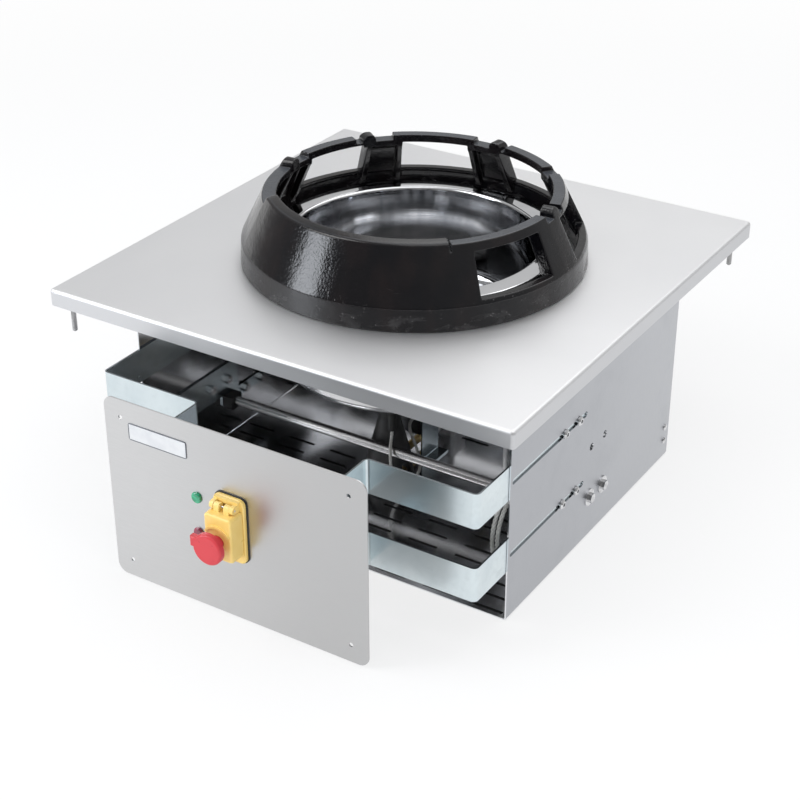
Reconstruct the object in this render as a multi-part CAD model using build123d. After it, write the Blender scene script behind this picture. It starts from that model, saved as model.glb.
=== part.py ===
"""Built-in gas wok range.

A square stainless worktop carries a cast wok ring and a polished combustion bowl. The burner
pot hangs below it in an open sheet housing. A control panel stands in front on four Z brackets,
whose bolts slide in long slots in the side walls. The panel carries two lamps and an
emergency-stop switch with a hinged cover.
"""
from build123d import *
from math import cos, radians, sin, sqrt, tan
import os

os.makedirs("parts", exist_ok=True)

# Sizes in mm. X runs left to right, Y front to back, Z up. The model is drawn with x = 0 on the
# burner's axis, y = 0 at the worktop's front edge and z = 0 under the housing's floor.

# --- Worktop ---
TOP_WIDTH = 600.0
TOP_DEPTH = 600.0
TOP_HEIGHT = 230.0        # its upper face above the base
TOP_SHEET = 1.5
LIP_DEPTH = 20.0
LIP_BEND = 4.0            # outer radius along the lip
TOP_CORNER = 4.5          # outer radius of the lip's upright corners
BURNER_BACK = 300.0       # burner's axis behind the front edge
TOP_HOLE_R = 160.0
STUD_R = 3.0
STUD_INSET = 17.5         # from both edges
STUD_LENGTH = 54.5

# --- Housing: one sheet folded to a U ---
HOUSE_WIDTH = 473.0       # outside
HOUSE_DEPTH = 396.0
HOUSE_SHEET = 1.5
HOUSE_BEND = 3.0
HOUSE_LIP_GAP = 0.2       # between the walls and the bend of the worktop's lip
HOUSE_FLANGE = 12.0       # flanges under the worktop
FLANGE_START = 30.0       # flanges begin and end this far from the wall's ends

# slots in the floor
FLOOR_SLOT_LENGTH = 37.0
FLOOR_SLOT_WIDTH = 4.0
FLOOR_SLOT_PITCH = 60.0
FLOOR_SLOT_COLUMNS = 8
FLOOR_ROW_PITCH = 22.0
FLOOR_FRONT_ROWS = 9
FLOOR_REAR_ROWS = 3
FLOOR_FIRST_ROW = 8.0     # behind the housing's front edge
FLOOR_REAR_START = 294.0

# features of both side walls, measured from the housing's front edge
SLIDE_SLOT_START = 4.0
SLIDE_SLOT_LENGTH = 164.0
SLOT_CLEARANCE = 0.3      # around a bracket bolt, each side
UPPER_SLOT_Z = 167.0
LOWER_SLOT_Z = 80.0
PAIR_FIRST = 184.0        # first hole of the rear pairs
PAIR_PITCH = 32.0
OPEN_HOLE_R = 4.5
OPEN_HOLE_Z = 117.0
CARRIER_Z = 52.5          # height of the side bolts and of the gas tube

# --- Back panel and its screws ---
BACK_HEIGHT = 92.0
BACK_SHEET = 1.5
BACK_FLANGE = 20.0
BACK_INSET = 2.0          # in front of the housing's rear edge
BACK_SCREW_Z = (24.0, 42.0)
BACK_SCREW_R = 2.0
BACK_SCREW_HEAD_R = 3.8
BACK_SCREW_HEAD = 2.2

# --- M6 fasteners ---
BOLT_R = 3.0
BUTTON_HEAD_R = 5.25
BUTTON_HEAD = 3.3
HEX_HEAD = 4.0
HEX_FLATS = 10.0
NUT_HEIGHT = 5.0
BOLT_BEYOND_NUT = 1.5
WASHER_R = 10.0
WASHER = 1.6
HEX_KEY = 4.0             # across flats of the button heads' sockets

# --- Gas tube across the housing, its carriers and clips ---
TUBE_R = 6.0
TUBE_BACK = 155.0         # behind the worktop's front edge
CARRIER_SHEET = 2.0
CARRIER_HEIGHT = 14.0
CARRIER_END = 12.0        # strip beyond the outermost bolt and beyond the tube
CLIP_WIDTH = 12.0         # along the tube
CLIP_WALL = 4.0
CLIP_CLEARANCE = 0.05

# --- Burner pot, bowl, head, manifold and mixing tube ---
POT_R = 170.0
POT_SHEET = 1.5
POT_BOTTOM = 104.0        # underside
POT_BEND = 12.0
POT_SEAM_Z = 114.0
POT_SEAM_PROUD = 0.8
BOWL_SHEET = 1.5
BOWL_FOOT_R = 177.0
BOWL_SHOULDER_R = 174.0
BOWL_SHOULDER_Z = 20.0    # above the worktop
BOWL_SHOULDER_BEND = 4.0
BOWL_RIM_R = 150.0
BOWL_RIM_Z = 21.5
BOWL_RIM_BEND = 3.0
BOWL_WALL_TAPER = 3.5
BOWL_WALL_DEPTH = 92.0    # below the worktop's upper face
BOWL_FLOOR_BEND = 18.0
BOWL_FLOOR_R = 62.0
BOWL_FLOOR_DEPTH = 97.0
HEAD_R = 80.0
HEAD_HEIGHT = 21.0
HEAD_EDGE_Z = 9.0         # underside of its edge
HEAD_PORTS = 20
HEAD_PORT_WIDTH = 3.0
MANIFOLD_R = 40.0
MANIFOLD_ARM_R = 26.0
MANIFOLD_HEIGHT = 24.0
SPIGOT_R = 15.0
MIXER_X = 38.0
MIXER_BACK = 185.0        # behind the worktop's front edge
MIXER_TOP_R = 12.5
MIXER_FOOT_R = 29.0
MIXER_WALL = 3.0
MIXER_COLLAR = 10.0
MIXER_NECK_Z = 78.0
AIR_PORT_WIDTH = 22.0
AIR_PORT_HEIGHT = 20.0

# --- Gas line on the floor ---
GAS_PIPE_R = 5.0
GAS_Z = 15.0
INJECTOR_R = 9.0
NOZZLE_R = 5.0
NOZZLE_HEIGHT = 16.0
VALVE_FRONT = 285.0       # behind the worktop's front edge
VALVE_LENGTH = 50.0
VALVE_WIDTH = 46.0
VALVE_HEIGHT = 30.0
COIL_R = 14.0
COIL_HEIGHT = 30.0
SUPPLY_R = 7.5
INLET_R = 10.5
INLET_LENGTH = 18.0       # behind the back panel
INLET_HEX_FLATS = 27.0
INLET_HEX = 8.0

# --- Ignition ---
IGNITER_X = 38.0
IGNITER_BACK = 225.0
IGNITER_WIDTH = 37.0
IGNITER_DEPTH = 37.0
IGNITER_HEIGHT = 41.0
IGNITER_Z = 37.0
IGNITER_BRACKET = 2.0
IGNITER_FOOT = 16.0
ELECTRODE_X = 58.0
ELECTRODE_BACK = 159.0
ELECTRODE_R = 3.5
ELECTRODE_ABOVE = 26.0    # ceramic above the pot's bottom
ELECTRODE_CAP_R = 5.0
ELECTRODE_CAP = 26.0
ELECTRODE_TIP_R = 1.0
LEAD_DIA = 4.0

# --- Wiring along the right wall ---
CABLE_DIA = 5.0
CABLE_PITCH = 6.0
GLAND_INSET = 32.3        # from the right wall's inner face
GLAND_Z = 40.0
GLAND_FLATS = 22.0
GLAND_BORE_R = 2.5
TERMINAL_WIDTH = 26.0
TERMINAL_LENGTH = 34.0
TERMINAL_HEIGHT = 24.0
TERMINAL_FRONT = 70.0
TERMINAL_Z = 116.0

# --- Wok ring, heights above its seat on the worktop ---
RING_SEAT_GAP = 0.3
RING_FOOT_R = 204.0
RING_FOOT_INNER_R = 190.0
RING_BAND = 27.0
RING_BAND_TAPER = 1.5
RING_RIM_R = 176.2        # of the cone at the rim's lowest level
RING_RIM_WIDTH = 16.2
RING_NOTCH_Z = 80.5       # the rim's lowest level, at the notches
RING_FRONT_Z = 91.5       # level of the rim over the solid front
RING_RIM_DEPTH = 8.0
RING_RIM_EDGE = 1.5
RING_WALL = 10.0          # radially
FRONT_SPAN = (-135.0, -45.5)
RAISE_STEP = 0.6          # a raised rim is narrower by this on each side
WINDOW_BOTTOM = 32.0
WINDOW_ANGLE = 29.0
WINDOW_CORNER = 4.0
RIM_OVER_WINDOW = 9.5
POST_PITCH = 45.0
FIRST_POST = -45.0
RIB_DEPTH = 7.0
RIB_ANGLE = 2.4
# first angle, last angle and level of the raised rim over each window
WINDOW_RIMS = (
    (-45.5, -1.0, 88.0),
    (13.0, 44.0, 86.5),
    (52.0, 79.0, 86.5),
    (95.0, 131.0, 86.5),
    (148.0, 174.0, 86.5),
)
LUG_ANGLES = (7.0, 84.0, 142.0, 185.0)
LUG_WIDTH = 17.0
LUG_ROUND = 8.0
LUG_RAISE = 9.0
LUG_OVERHANG = 2.5

# --- Z brackets ---
STRIP_HEIGHT = 40.0
STRIP = 2.0
STRIP_BEND = 6.0          # outer radius
BRACKET_WALL_GAP = 0.3    # between a bracket and the side wall
BRACKET_ARM_END = 175.0   # behind the worktop's front edge
BRACKET_FRONT = 58.0      # front wall ahead of the worktop's front edge
BRACKET_FRONT_WIDTH = 128.0
BRACKET_FLANGE = 18.0
BRACKET_BOLT_BACK = 121.0
BRACKET_BOLT_PITCH = 32.0

# --- Control panel ---
PANEL_WIDTH = 322.0
PANEL_HEIGHT = 218.0
PANEL_SHEET = 1.5
PANEL_BOTTOM = 2.0
PANEL_FRONT = 140.0       # front face ahead of the worktop's front edge
PANEL_CORNER = 12.0
PANEL_HOLE_R = 2.5
PANEL_HOLE_INSET = 21.0

# --- Lamps ---
LAMP_X = 13.5
GREEN_LAMP_Z = 134.0
RED_LAMP_Z = 91.0
LENS_R = 6.5
LENS_PROUD = 2.5
LAMP_R = 5.0
LAMP_LENGTH = 22.0
LAMP_NUT_FLATS = 14.0
LAMP_NUT = 3.0

# --- Emergency-stop switch ---
SWITCH_X = 57.5
SWITCH_Z = 114.0
SWITCH_WIDTH = 40.0
SWITCH_HEIGHT = 78.0
SWITCH_CORNER = 8.0
GASKET = 1.5
BASE_THICK = 4.0
BASE_EDGE = 1.0           # gasket shows this far round the base
CONTACT_WIDTH = 27.0
CONTACT_HEIGHT = 46.0
CONTACT_DEPTH = 30.0      # behind the panel's front face
CUTOUT_GAP = 0.5
CONTACT_TAB = 2.0
BUTTON_STEP = 2.5         # raised block round the buttons
BUTTON_WIDTH = 15.0
START_Z = 125.5
START_HEIGHT = 11.0
STOP_Z = 108.0
STOP_HEIGHT = 16.0
BUTTON_PROUD = 4.5
BUTTON_GAP = 0.3
BUTTON_TRAVEL = 2.5
COVER_WIDTH = 34.5
COVER_BOTTOM = 87.0
COVER_TOP = 140.0
COVER_PROUD = 25.0        # front face ahead of the panel
COVER_GAP = 0.5
COVER_WALL = 2.0
COVER_DRAFT = 0.8         # each side, over the cover's depth
COVER_ROUND = 3.5
RIDGE_R = 17.0
RIDGE_WIDTH = 2.6
RIDGE_HEIGHT = 2.0
RIDGE_HALF_SPAN = 58.0
LATCH_WIDTH = 12.0
LATCH_LENGTH = 11.0
LATCH_THICK = 3.0
PIN_R = 1.2
PIN_RUNNING_FIT = 0.05
PIN_PROUD = 13.5          # pin's axis ahead of the panel
PIN_Z = 145.0
KNUCKLE_R = 4.0
KNUCKLE_WIDTH = 6.5
KNUCKLE_GAP = 6.0         # between the two knuckles
EAR_R = 4.4
EAR_WIDTH = 4.5
EAR_SIDE_GAP = 0.5
EAR_BAR = 5.0
STOP_AXIS_Z = 110.0
DISC_R = 17.5
DISC_THICK = 7.0
DISC_PROUD = 44.0         # disc's face ahead of the panel
DISC_EDGE = 2.4
DISC_TAB_REACH = 3.5
DISC_TAB_HEIGHT = 12.0
STEM_R = 7.0
STEM_GAP = 0.3
STEM_FLANGE = 2.0
STEM_FLANGE_STEP = 2.0
STOP_TRAVEL = 3.5
STEM_TO_BUTTON = 0.5      # left between the stem and the stop button when pressed


# --- Places worked out from the sizes ---
TOP_UNDER = TOP_HEIGHT - TOP_SHEET
HOUSE_RIGHT = TOP_WIDTH / 2 - max(LIP_BEND, TOP_SHEET) - HOUSE_LIP_GAP
HOUSE_FRONT = max(LIP_BEND, TOP_SHEET) + HOUSE_LIP_GAP
HOUSE_LEFT = HOUSE_RIGHT - HOUSE_WIDTH
HOUSE_MID = (HOUSE_RIGHT + HOUSE_LEFT) / 2
HOUSE_HALF = HOUSE_WIDTH / 2
HOUSE_BACK = HOUSE_FRONT + HOUSE_DEPTH
INNER_HALF = HOUSE_HALF - HOUSE_SHEET
FLOOR_Z = HOUSE_SHEET
PAIR_Y = [HOUSE_FRONT + PAIR_FIRST + i * PAIR_PITCH for i in range(2)]
BRACKET_BOLT_Y = [BRACKET_BOLT_BACK + i * BRACKET_BOLT_PITCH for i in range(2)]
SLOT_Z = {"upper": UPPER_SLOT_Z, "lower": LOWER_SLOT_Z}
BACK_Y = HOUSE_BACK - BACK_INSET
BACK_BOTTOM = FLOOR_Z + max(HOUSE_BEND - HOUSE_SHEET, 0)
POT_FLOOR = POT_BOTTOM + POT_SHEET
MANIFOLD_TOP = POT_FLOOR + MANIFOLD_HEIGHT
SPIGOT_BOTTOM = POT_BOTTOM - MIXER_COLLAR / 2
PANEL_Y = -PANEL_FRONT
PANEL_BACK_Y = PANEL_Y + PANEL_SHEET
GASKET_Y = PANEL_Y - GASKET
BASE_Y = GASKET_Y - BASE_THICK
STEP_Y = BASE_Y - BUTTON_STEP
BUTTON_Y = STEP_Y - BUTTON_PROUD
COVER_Y = PANEL_Y - COVER_PROUD
PIN_Y = PANEL_Y - PIN_PROUD
DISC_Y = PANEL_Y - DISC_PROUD
STEM_END_Y = BUTTON_Y - STEM_TO_BUTTON - STOP_TRAVEL
BURNER = (0.0, BURNER_BACK)
GLAND_X = HOUSE_RIGHT - HOUSE_SHEET - GLAND_INSET
RING_RIM_INNER_R = RING_RIM_R - RING_RIM_WIDTH


# --- Drawing helpers ---
def block(x0, x1, y0, y1, z0, z1):
    """A block between two opposite corners."""
    return Pos((x0 + x1) / 2, (y0 + y1) / 2, (z0 + z1) / 2) * Box(x1 - x0, y1 - y0, z1 - z0)


def along_x(face, x0, x1):
    """A face drawn in Y and Z, drawn out from x0 to x1."""
    return extrude(Plane(origin=(x0, 0, 0), x_dir=(0, 1, 0), z_dir=(1, 0, 0)) * face, x1 - x0)


def along_y(face, y0, y1):
    """A face drawn in X and Z, drawn out from y0 to y1."""
    return extrude(Plane(origin=(0, y1, 0), x_dir=(1, 0, 0), z_dir=(0, -1, 0)) * face, y1 - y0)


def along_z(face, z0, z1):
    """A face drawn in X and Y, drawn out from z0 to z1."""
    return extrude(Pos(0, 0, z0) * face, z1 - z0)


def folded(points, bends, sheet, side):
    """The section of a folded strip: a bent line and the sheet on one side of it."""
    return make_face(offset(FilletPolyline(*points, radius=bends), amount=sheet, side=side, closed=True))


def turned(points, centre=BURNER, base=0.0):
    """A closed (radius, height) outline turned about an upright axis."""
    body = revolve(Plane.XZ * make_face(Polyline(*points, close=True)), Axis.Z)
    return Pos(centre[0], centre[1], base) * body


def hexagon(flats):
    """A hexagon of a given width across its flats."""
    return RegularPolygon(flats / sqrt(3), 6)


def sideways(side, shape):
    """A shape drawn outward of the housing's middle, set on the right (1) or left (-1) side."""
    return Pos(HOUSE_MID, 0, 0) * (shape if side > 0 else mirror(shape, Plane.YZ))


def group(shapes):
    """Separate solids of one kind."""
    return Compound([solid for shape in shapes for solid in shape.solids()])


# --- Worktop and housing ---
def make_worktop():
    """Square sheet with a folded lip and the burner's round opening."""
    tray = block(-TOP_WIDTH / 2, TOP_WIDTH / 2, 0, TOP_DEPTH, TOP_HEIGHT - LIP_DEPTH, TOP_HEIGHT)
    tray = fillet(tray.edges().filter_by(Axis.Z), TOP_CORNER)
    tray = fillet(tray.faces().sort_by(Axis.Z)[-1].edges(), LIP_BEND)
    tray = offset(tray, amount=-TOP_SHEET, openings=tray.faces().sort_by(Axis.Z)[0])
    return tray - along_z(Pos(*BURNER) * Circle(TOP_HOLE_R), TOP_UNDER - 1, TOP_HEIGHT + 1)


def make_worktop_studs():
    """Four studs welded under the worktop, with bevelled ends."""
    studs = []
    for x in (STUD_INSET - TOP_WIDTH / 2, TOP_WIDTH / 2 - STUD_INSET):
        for y in (STUD_INSET, TOP_DEPTH - STUD_INSET):
            stud = along_z(Circle(STUD_R), TOP_UNDER - STUD_LENGTH, TOP_UNDER)
            stud = chamfer(stud.edges().sort_by(Axis.Z)[0], STUD_R * 0.5)
            studs.append(Pos(x, y, 0) * stud)
    return group(studs)


def wall_openings():
    """Slide slots and bolt holes through both side walls."""
    slot = SlotOverall(SLIDE_SLOT_LENGTH, 2 * (BOLT_R + SLOT_CLEARANCE))
    slot_middle = HOUSE_FRONT + SLIDE_SLOT_START + SLIDE_SLOT_LENGTH / 2
    face = Sketch() + [Pos(slot_middle, z) * slot for z in SLOT_Z.values()]
    for y in PAIR_Y:
        face += Pos(y, OPEN_HOLE_Z) * Circle(OPEN_HOLE_R)
        face += Pos(y, CARRIER_Z) * Circle(BOLT_R + SLOT_CLEARANCE)
    for z in BACK_SCREW_Z:
        face += Pos(BACK_Y - BACK_FLANGE / 2, z) * Circle(BACK_SCREW_R)
    return along_x(face, HOUSE_LEFT - 1, HOUSE_RIGHT + 1)


def floor_slots():
    """Rows of long air slots in the floor."""
    slot = Rectangle(FLOOR_SLOT_LENGTH, FLOOR_SLOT_WIDTH)
    rows = [FLOOR_FIRST_ROW + i * FLOOR_ROW_PITCH for i in range(FLOOR_FRONT_ROWS)]
    rows += [FLOOR_REAR_START + i * FLOOR_ROW_PITCH for i in range(FLOOR_REAR_ROWS)]
    first = HOUSE_MID - (FLOOR_SLOT_COLUMNS - 1) / 2 * FLOOR_SLOT_PITCH
    columns = [first + i * FLOOR_SLOT_PITCH for i in range(FLOOR_SLOT_COLUMNS)]
    face = Sketch() + [Pos(x, HOUSE_FRONT + y) * slot for x in columns for y in rows]
    return along_z(face, -1, FLOOR_Z + 1)


def make_housing():
    """Floor and both side walls folded from one sheet, with flanges welded under the worktop."""
    corners = [(-HOUSE_HALF, TOP_UNDER), (-HOUSE_HALF, 0), (HOUSE_HALF, 0), (HOUSE_HALF, TOP_UNDER)]
    section = folded(corners, HOUSE_BEND, HOUSE_SHEET, Side.LEFT)
    body = along_y(Pos(HOUSE_MID, 0) * section, HOUSE_FRONT, HOUSE_BACK)
    flange_ends = (HOUSE_FRONT + FLANGE_START, HOUSE_BACK - FLANGE_START)
    for edge in (HOUSE_LEFT, HOUSE_RIGHT - HOUSE_SHEET):
        body += block(edge - HOUSE_FLANGE, edge, *flange_ends, TOP_UNDER - HOUSE_SHEET, TOP_UNDER)
    return body - wall_openings() - floor_slots()


def make_back_panel():
    """Low rear wall, a tray whose side flanges lie on the side walls."""
    half = INNER_HALF
    corners = [(-half, BACK_Y - BACK_FLANGE), (-half, BACK_Y), (half, BACK_Y), (half, BACK_Y - BACK_FLANGE)]
    section = folded(corners, HOUSE_BEND, BACK_SHEET, Side.RIGHT)
    panel = along_z(Pos(HOUSE_MID, 0) * section, BACK_BOTTOM, BACK_BOTTOM + BACK_HEIGHT)
    holes = Sketch() + [Pos(BACK_Y - BACK_FLANGE / 2, z) * Circle(BACK_SCREW_R) for z in BACK_SCREW_Z]
    panel -= along_x(holes, HOUSE_LEFT, HOUSE_RIGHT)
    wall_holes = Pos(MIXER_X, GAS_Z) * Circle(SUPPLY_R)
    wall_holes += Pos(GLAND_X, GLAND_Z) * Circle(GLAND_FLATS / 2 - 3)
    return panel - along_y(wall_holes, BACK_Y - 2 * BACK_SHEET, BACK_Y + 1)


def make_rear_screws():
    """Small button-head screws through the side walls into the back panel's flanges."""
    screws = []
    for side in (-1, 1):
        for z in BACK_SCREW_Z:
            head = Pos(BACK_Y - BACK_FLANGE / 2, z) * Circle(BACK_SCREW_HEAD_R)
            screw = along_x(head, HOUSE_HALF, HOUSE_HALF + BACK_SCREW_HEAD)
            screw = chamfer(screw.edges().sort_by(Axis.X)[-1], BACK_SCREW_HEAD * 0.5)
            shank = Pos(BACK_Y - BACK_FLANGE / 2, z) * Circle(BACK_SCREW_R)
            screw += along_x(shank, INNER_HALF - BACK_SHEET - BOLT_BEYOND_NUT, HOUSE_HALF)
            screws.append(sideways(side, screw))
    return group(screws)


# --- Bolts that hold the tube carriers, and the gas tube ---
def each_side_bolt():
    """Side and place of the four rear bolts."""
    return [(side, y) for side in (-1, 1) for y in PAIR_Y]


def make_side_washers():
    face = Circle(WASHER_R) - Circle(BOLT_R)
    return group(
        sideways(side, along_x(Pos(y, CARRIER_Z) * face, HOUSE_HALF, HOUSE_HALF + WASHER))
        for side, y in each_side_bolt()
    )


def make_side_bolts():
    """Hex bolts from outside, on their washers."""
    seat = HOUSE_HALF + WASHER
    end = INNER_HALF - CARRIER_SHEET - NUT_HEIGHT - BOLT_BEYOND_NUT
    bolts = []
    for side, y in each_side_bolt():
        bolt = along_x(Pos(y, CARRIER_Z) * hexagon(HEX_FLATS), seat, seat + HEX_HEAD)
        bolt += along_x(Pos(y, CARRIER_Z) * Circle(BOLT_R), end, seat)
        bolts.append(sideways(side, bolt))
    return group(bolts)


def make_side_nuts():
    face = hexagon(HEX_FLATS) - Circle(BOLT_R)
    seat = INNER_HALF - CARRIER_SHEET
    return group(
        sideways(side, along_x(Pos(y, CARRIER_Z) * face, seat - NUT_HEIGHT, seat))
        for side, y in each_side_bolt()
    )


def make_tube_carriers():
    """Strips on the inner faces of the side walls, from the tube's end to the rear bolts."""
    front = TUBE_BACK - CARRIER_END
    back = PAIR_Y[-1] + CARRIER_END
    strips = []
    for side in (-1, 1):
        face = Pos((front + back) / 2, CARRIER_Z) * RectangleRounded(back - front, CARRIER_HEIGHT, 3)
        face -= [Pos(y, CARRIER_Z) * Circle(BOLT_R) for y in PAIR_Y]
        strips.append(sideways(side, along_x(face, INNER_HALF - CARRIER_SHEET, INNER_HALF)))
    return group(strips)


def make_gas_tube():
    """Straight tube from carrier to carrier."""
    half = INNER_HALF - CARRIER_SHEET
    ring = Pos(TUBE_BACK, CARRIER_Z) * (Circle(TUBE_R) - Circle(TUBE_R - 1))
    return Pos(HOUSE_MID, 0, 0) * along_x(ring, -half, half)


def make_tube_clips():
    """Black blocks round the tube's ends, seated on the carriers."""
    seat = INNER_HALF - CARRIER_SHEET
    width = 2 * (TUBE_R + CLIP_WALL)
    top = CARRIER_Z + CARRIER_HEIGHT / 2
    bottom = CARRIER_Z - TUBE_R - CLIP_WALL
    face = Pos(TUBE_BACK, (top + bottom) / 2) * Rectangle(width, top - bottom)
    face = fillet(face.vertices().group_by(Axis.Y)[0], 3)
    face -= Pos(TUBE_BACK, CARRIER_Z) * Circle(TUBE_R + CLIP_CLEARANCE)
    return group(sideways(side, along_x(face, seat - CLIP_WIDTH, seat)) for side in (-1, 1))


# --- Burner ---
def make_combustion_bowl():
    """Polished bowl: skirt on the worktop, flat shoulder, rolled rim, steep wall and open floor."""
    points = [
        (BOWL_FOOT_R, 0),
        (BOWL_SHOULDER_R, BOWL_SHOULDER_Z),
        (BOWL_RIM_R, BOWL_RIM_Z),
        (BOWL_RIM_R - BOWL_WALL_TAPER, -BOWL_WALL_DEPTH),
        (BOWL_FLOOR_R, -BOWL_FLOOR_DEPTH),
    ]
    section = folded(points, [BOWL_SHOULDER_BEND, BOWL_RIM_BEND, BOWL_FLOOR_BEND], BOWL_SHEET, Side.RIGHT)
    bowl = revolve(Plane.XZ * section, Axis.Z)
    return Pos(*BURNER, TOP_HEIGHT) * bowl


def make_burner_pot():
    """Deep pot hung from the worktop by its inward rim, with a beaded seam low on its wall."""
    points = [
        (TOP_HOLE_R, TOP_UNDER),
        (POT_R, TOP_UNDER),
        (POT_R, POT_BOTTOM),
        (0.01, POT_BOTTOM),
    ]
    section = folded(points, [3, POT_BEND], POT_SHEET, Side.RIGHT)
    pot = revolve(Plane.XZ * section, Axis.Z)
    edge = POT_R - POT_SHEET / 2
    seam = [
        (edge, POT_SEAM_Z - POT_SEAM_PROUD),
        (POT_R + POT_SEAM_PROUD, POT_SEAM_Z),
        (edge, POT_SEAM_Z + POT_SEAM_PROUD),
    ]
    pot = Pos(*BURNER, 0) * pot + turned(seam)
    holes = Pos(MIXER_X, MIXER_BACK) * Circle(SPIGOT_R)
    holes += Pos(ELECTRODE_X, ELECTRODE_BACK) * Circle(ELECTRODE_R)
    return pot - along_z(holes, POT_BOTTOM - 1, POT_FLOOR + 1)


def make_burner_manifold():
    """Flat cast chamber from the mixing tube to the burner head."""
    plan = make_hull(
        (Circle(MANIFOLD_R) + Pos(MIXER_X, MIXER_BACK - BURNER_BACK) * Circle(MANIFOLD_ARM_R)).edges()
    )
    body = along_z(plan, POT_FLOOR, MANIFOLD_TOP)
    body = fillet(body.faces().sort_by(Axis.Z)[-1].edges(), 4)
    spigot = Pos(MIXER_X, MIXER_BACK - BURNER_BACK) * Circle(SPIGOT_R)
    body += along_z(spigot, SPIGOT_BOTTOM, POT_FLOOR)
    return Pos(*BURNER, 0) * body


def make_burner_head():
    """Low cast cap with radial flame ports round its edge."""
    outline = [
        (0, 0),
        (MANIFOLD_R - 6, 0),
        (BOWL_FLOOR_R - 4, HEAD_EDGE_Z - 2),
        (HEAD_R, HEAD_EDGE_Z),
        (HEAD_R, HEAD_HEIGHT - 7),
        (HEAD_R - 12, HEAD_HEIGHT),
        (0, HEAD_HEIGHT),
    ]
    head = turned(outline, (0, 0))
    half = HEAD_PORT_WIDTH / 2
    port = block(HEAD_R - 14, HEAD_R + 1, -half, half, HEAD_HEIGHT - 9, HEAD_HEIGHT + 1)
    head -= [Rot(0, 0, i * 360 / HEAD_PORTS) * port for i in range(HEAD_PORTS)]
    return Pos(*BURNER, MANIFOLD_TOP) * head


def make_mixing_tube():
    """Black cast tube that widens to its foot, with air ports round the injector."""
    wall = MIXER_WALL
    top = SPIGOT_BOTTOM
    outline = [
        (MIXER_FOOT_R - wall, FLOOR_Z),
        (MIXER_FOOT_R, FLOOR_Z),
        (MIXER_FOOT_R - 4, FLOOR_Z + AIR_PORT_HEIGHT + 10),
        (MIXER_TOP_R, MIXER_NECK_Z),
        (MIXER_TOP_R, top - MIXER_COLLAR),
        (SPIGOT_R + wall, top - MIXER_COLLAR),
        (SPIGOT_R + wall, top),
        (MIXER_TOP_R - wall, top),
        (MIXER_TOP_R - wall, MIXER_NECK_Z),
        (MIXER_FOOT_R - 4 - wall, FLOOR_Z + AIR_PORT_HEIGHT + 10),
    ]
    tube = turned(outline, (MIXER_X, MIXER_BACK))
    port = Pos(0, FLOOR_Z + 4 + AIR_PORT_HEIGHT / 2) * RectangleRounded(AIR_PORT_WIDTH, AIR_PORT_HEIGHT, 5)
    reach = MIXER_FOOT_R + 1
    tube -= along_x(Pos(MIXER_BACK, 0) * port, MIXER_X - reach, MIXER_X + reach)
    tube -= along_y(Pos(MIXER_X, 0) * port, MIXER_BACK - reach, MIXER_BACK + reach)
    return tube


def make_gas_injector():
    """Brass body on the floor with an upright nozzle."""
    body = along_z(hexagon(2 * INJECTOR_R), FLOOR_Z, GAS_Z + GAS_PIPE_R)
    body += along_z(Circle(NOZZLE_R), GAS_Z + GAS_PIPE_R, GAS_Z + GAS_PIPE_R + NOZZLE_HEIGHT)
    body = chamfer(body.edges().sort_by(Axis.Z)[-1], NOZZLE_R / 2)
    return Pos(MIXER_X, MIXER_BACK, 0) * body


def make_gas_pipe():
    """Straight pipe from the valve to the injector."""
    ring = Pos(MIXER_X, GAS_Z) * Circle(GAS_PIPE_R)
    return along_y(ring, MIXER_BACK + INJECTOR_R, VALVE_FRONT)


def make_gas_valve():
    """Cast valve body with flare nuts at both ends and its coil on top."""
    half = VALVE_WIDTH / 2
    back = VALVE_FRONT + VALVE_LENGTH
    body = block(-half, half, VALVE_FRONT + 8, back - 8, FLOOR_Z, FLOOR_Z + VALVE_HEIGHT)
    body = fillet(body.edges().filter_by(Axis.Z), 5)
    body += along_y(Pos(0, GAS_Z) * hexagon(20), VALVE_FRONT, VALVE_FRONT + 8)
    body += along_y(Pos(0, GAS_Z) * hexagon(24), back - 8, back)
    middle = (VALVE_FRONT + back) / 2
    top = FLOOR_Z + VALVE_HEIGHT
    coil = along_z(Pos(0, middle) * Circle(COIL_R), top, top + COIL_HEIGHT)
    coil = fillet(coil.edges().sort_by(Axis.Z)[-1], 3)
    body += coil
    body += along_z(Pos(0, middle) * hexagon(10), top + COIL_HEIGHT, top + COIL_HEIGHT + 4)
    return Pos(MIXER_X, 0, 0) * body


def make_supply_pipe():
    """Straight pipe from the inlet to the valve."""
    ring = Pos(MIXER_X, GAS_Z) * Circle(SUPPLY_R)
    return along_y(ring, VALVE_FRONT + VALVE_LENGTH, BACK_Y)


def make_gas_inlet():
    """Hexagon seated on the back panel and a stub for the gas supply."""
    axis = Pos(MIXER_X, GAS_Z)
    inlet = along_y(axis * hexagon(INLET_HEX_FLATS), BACK_Y, BACK_Y + INLET_HEX)
    inlet += along_y(axis * Circle(INLET_R), BACK_Y + INLET_HEX, BACK_Y + INLET_HEX + INLET_LENGTH)
    inlet = chamfer(inlet.edges().sort_by(Axis.Y)[-1], 1)
    bore = along_y(axis * Circle(SUPPLY_R - 1), BACK_Y + INLET_HEX, BACK_Y + INLET_HEX + INLET_LENGTH + 1)
    return inlet - bore


# --- Ignition ---
def make_ignition_box():
    half = IGNITER_WIDTH / 2
    back = IGNITER_BACK + IGNITER_DEPTH
    body = block(-half, half, IGNITER_BACK, back, IGNITER_Z, IGNITER_Z + IGNITER_HEIGHT)
    body = fillet(body.edges().filter_by(Axis.Y), 2.5)
    return Pos(IGNITER_X, 0, 0) * body


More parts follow.
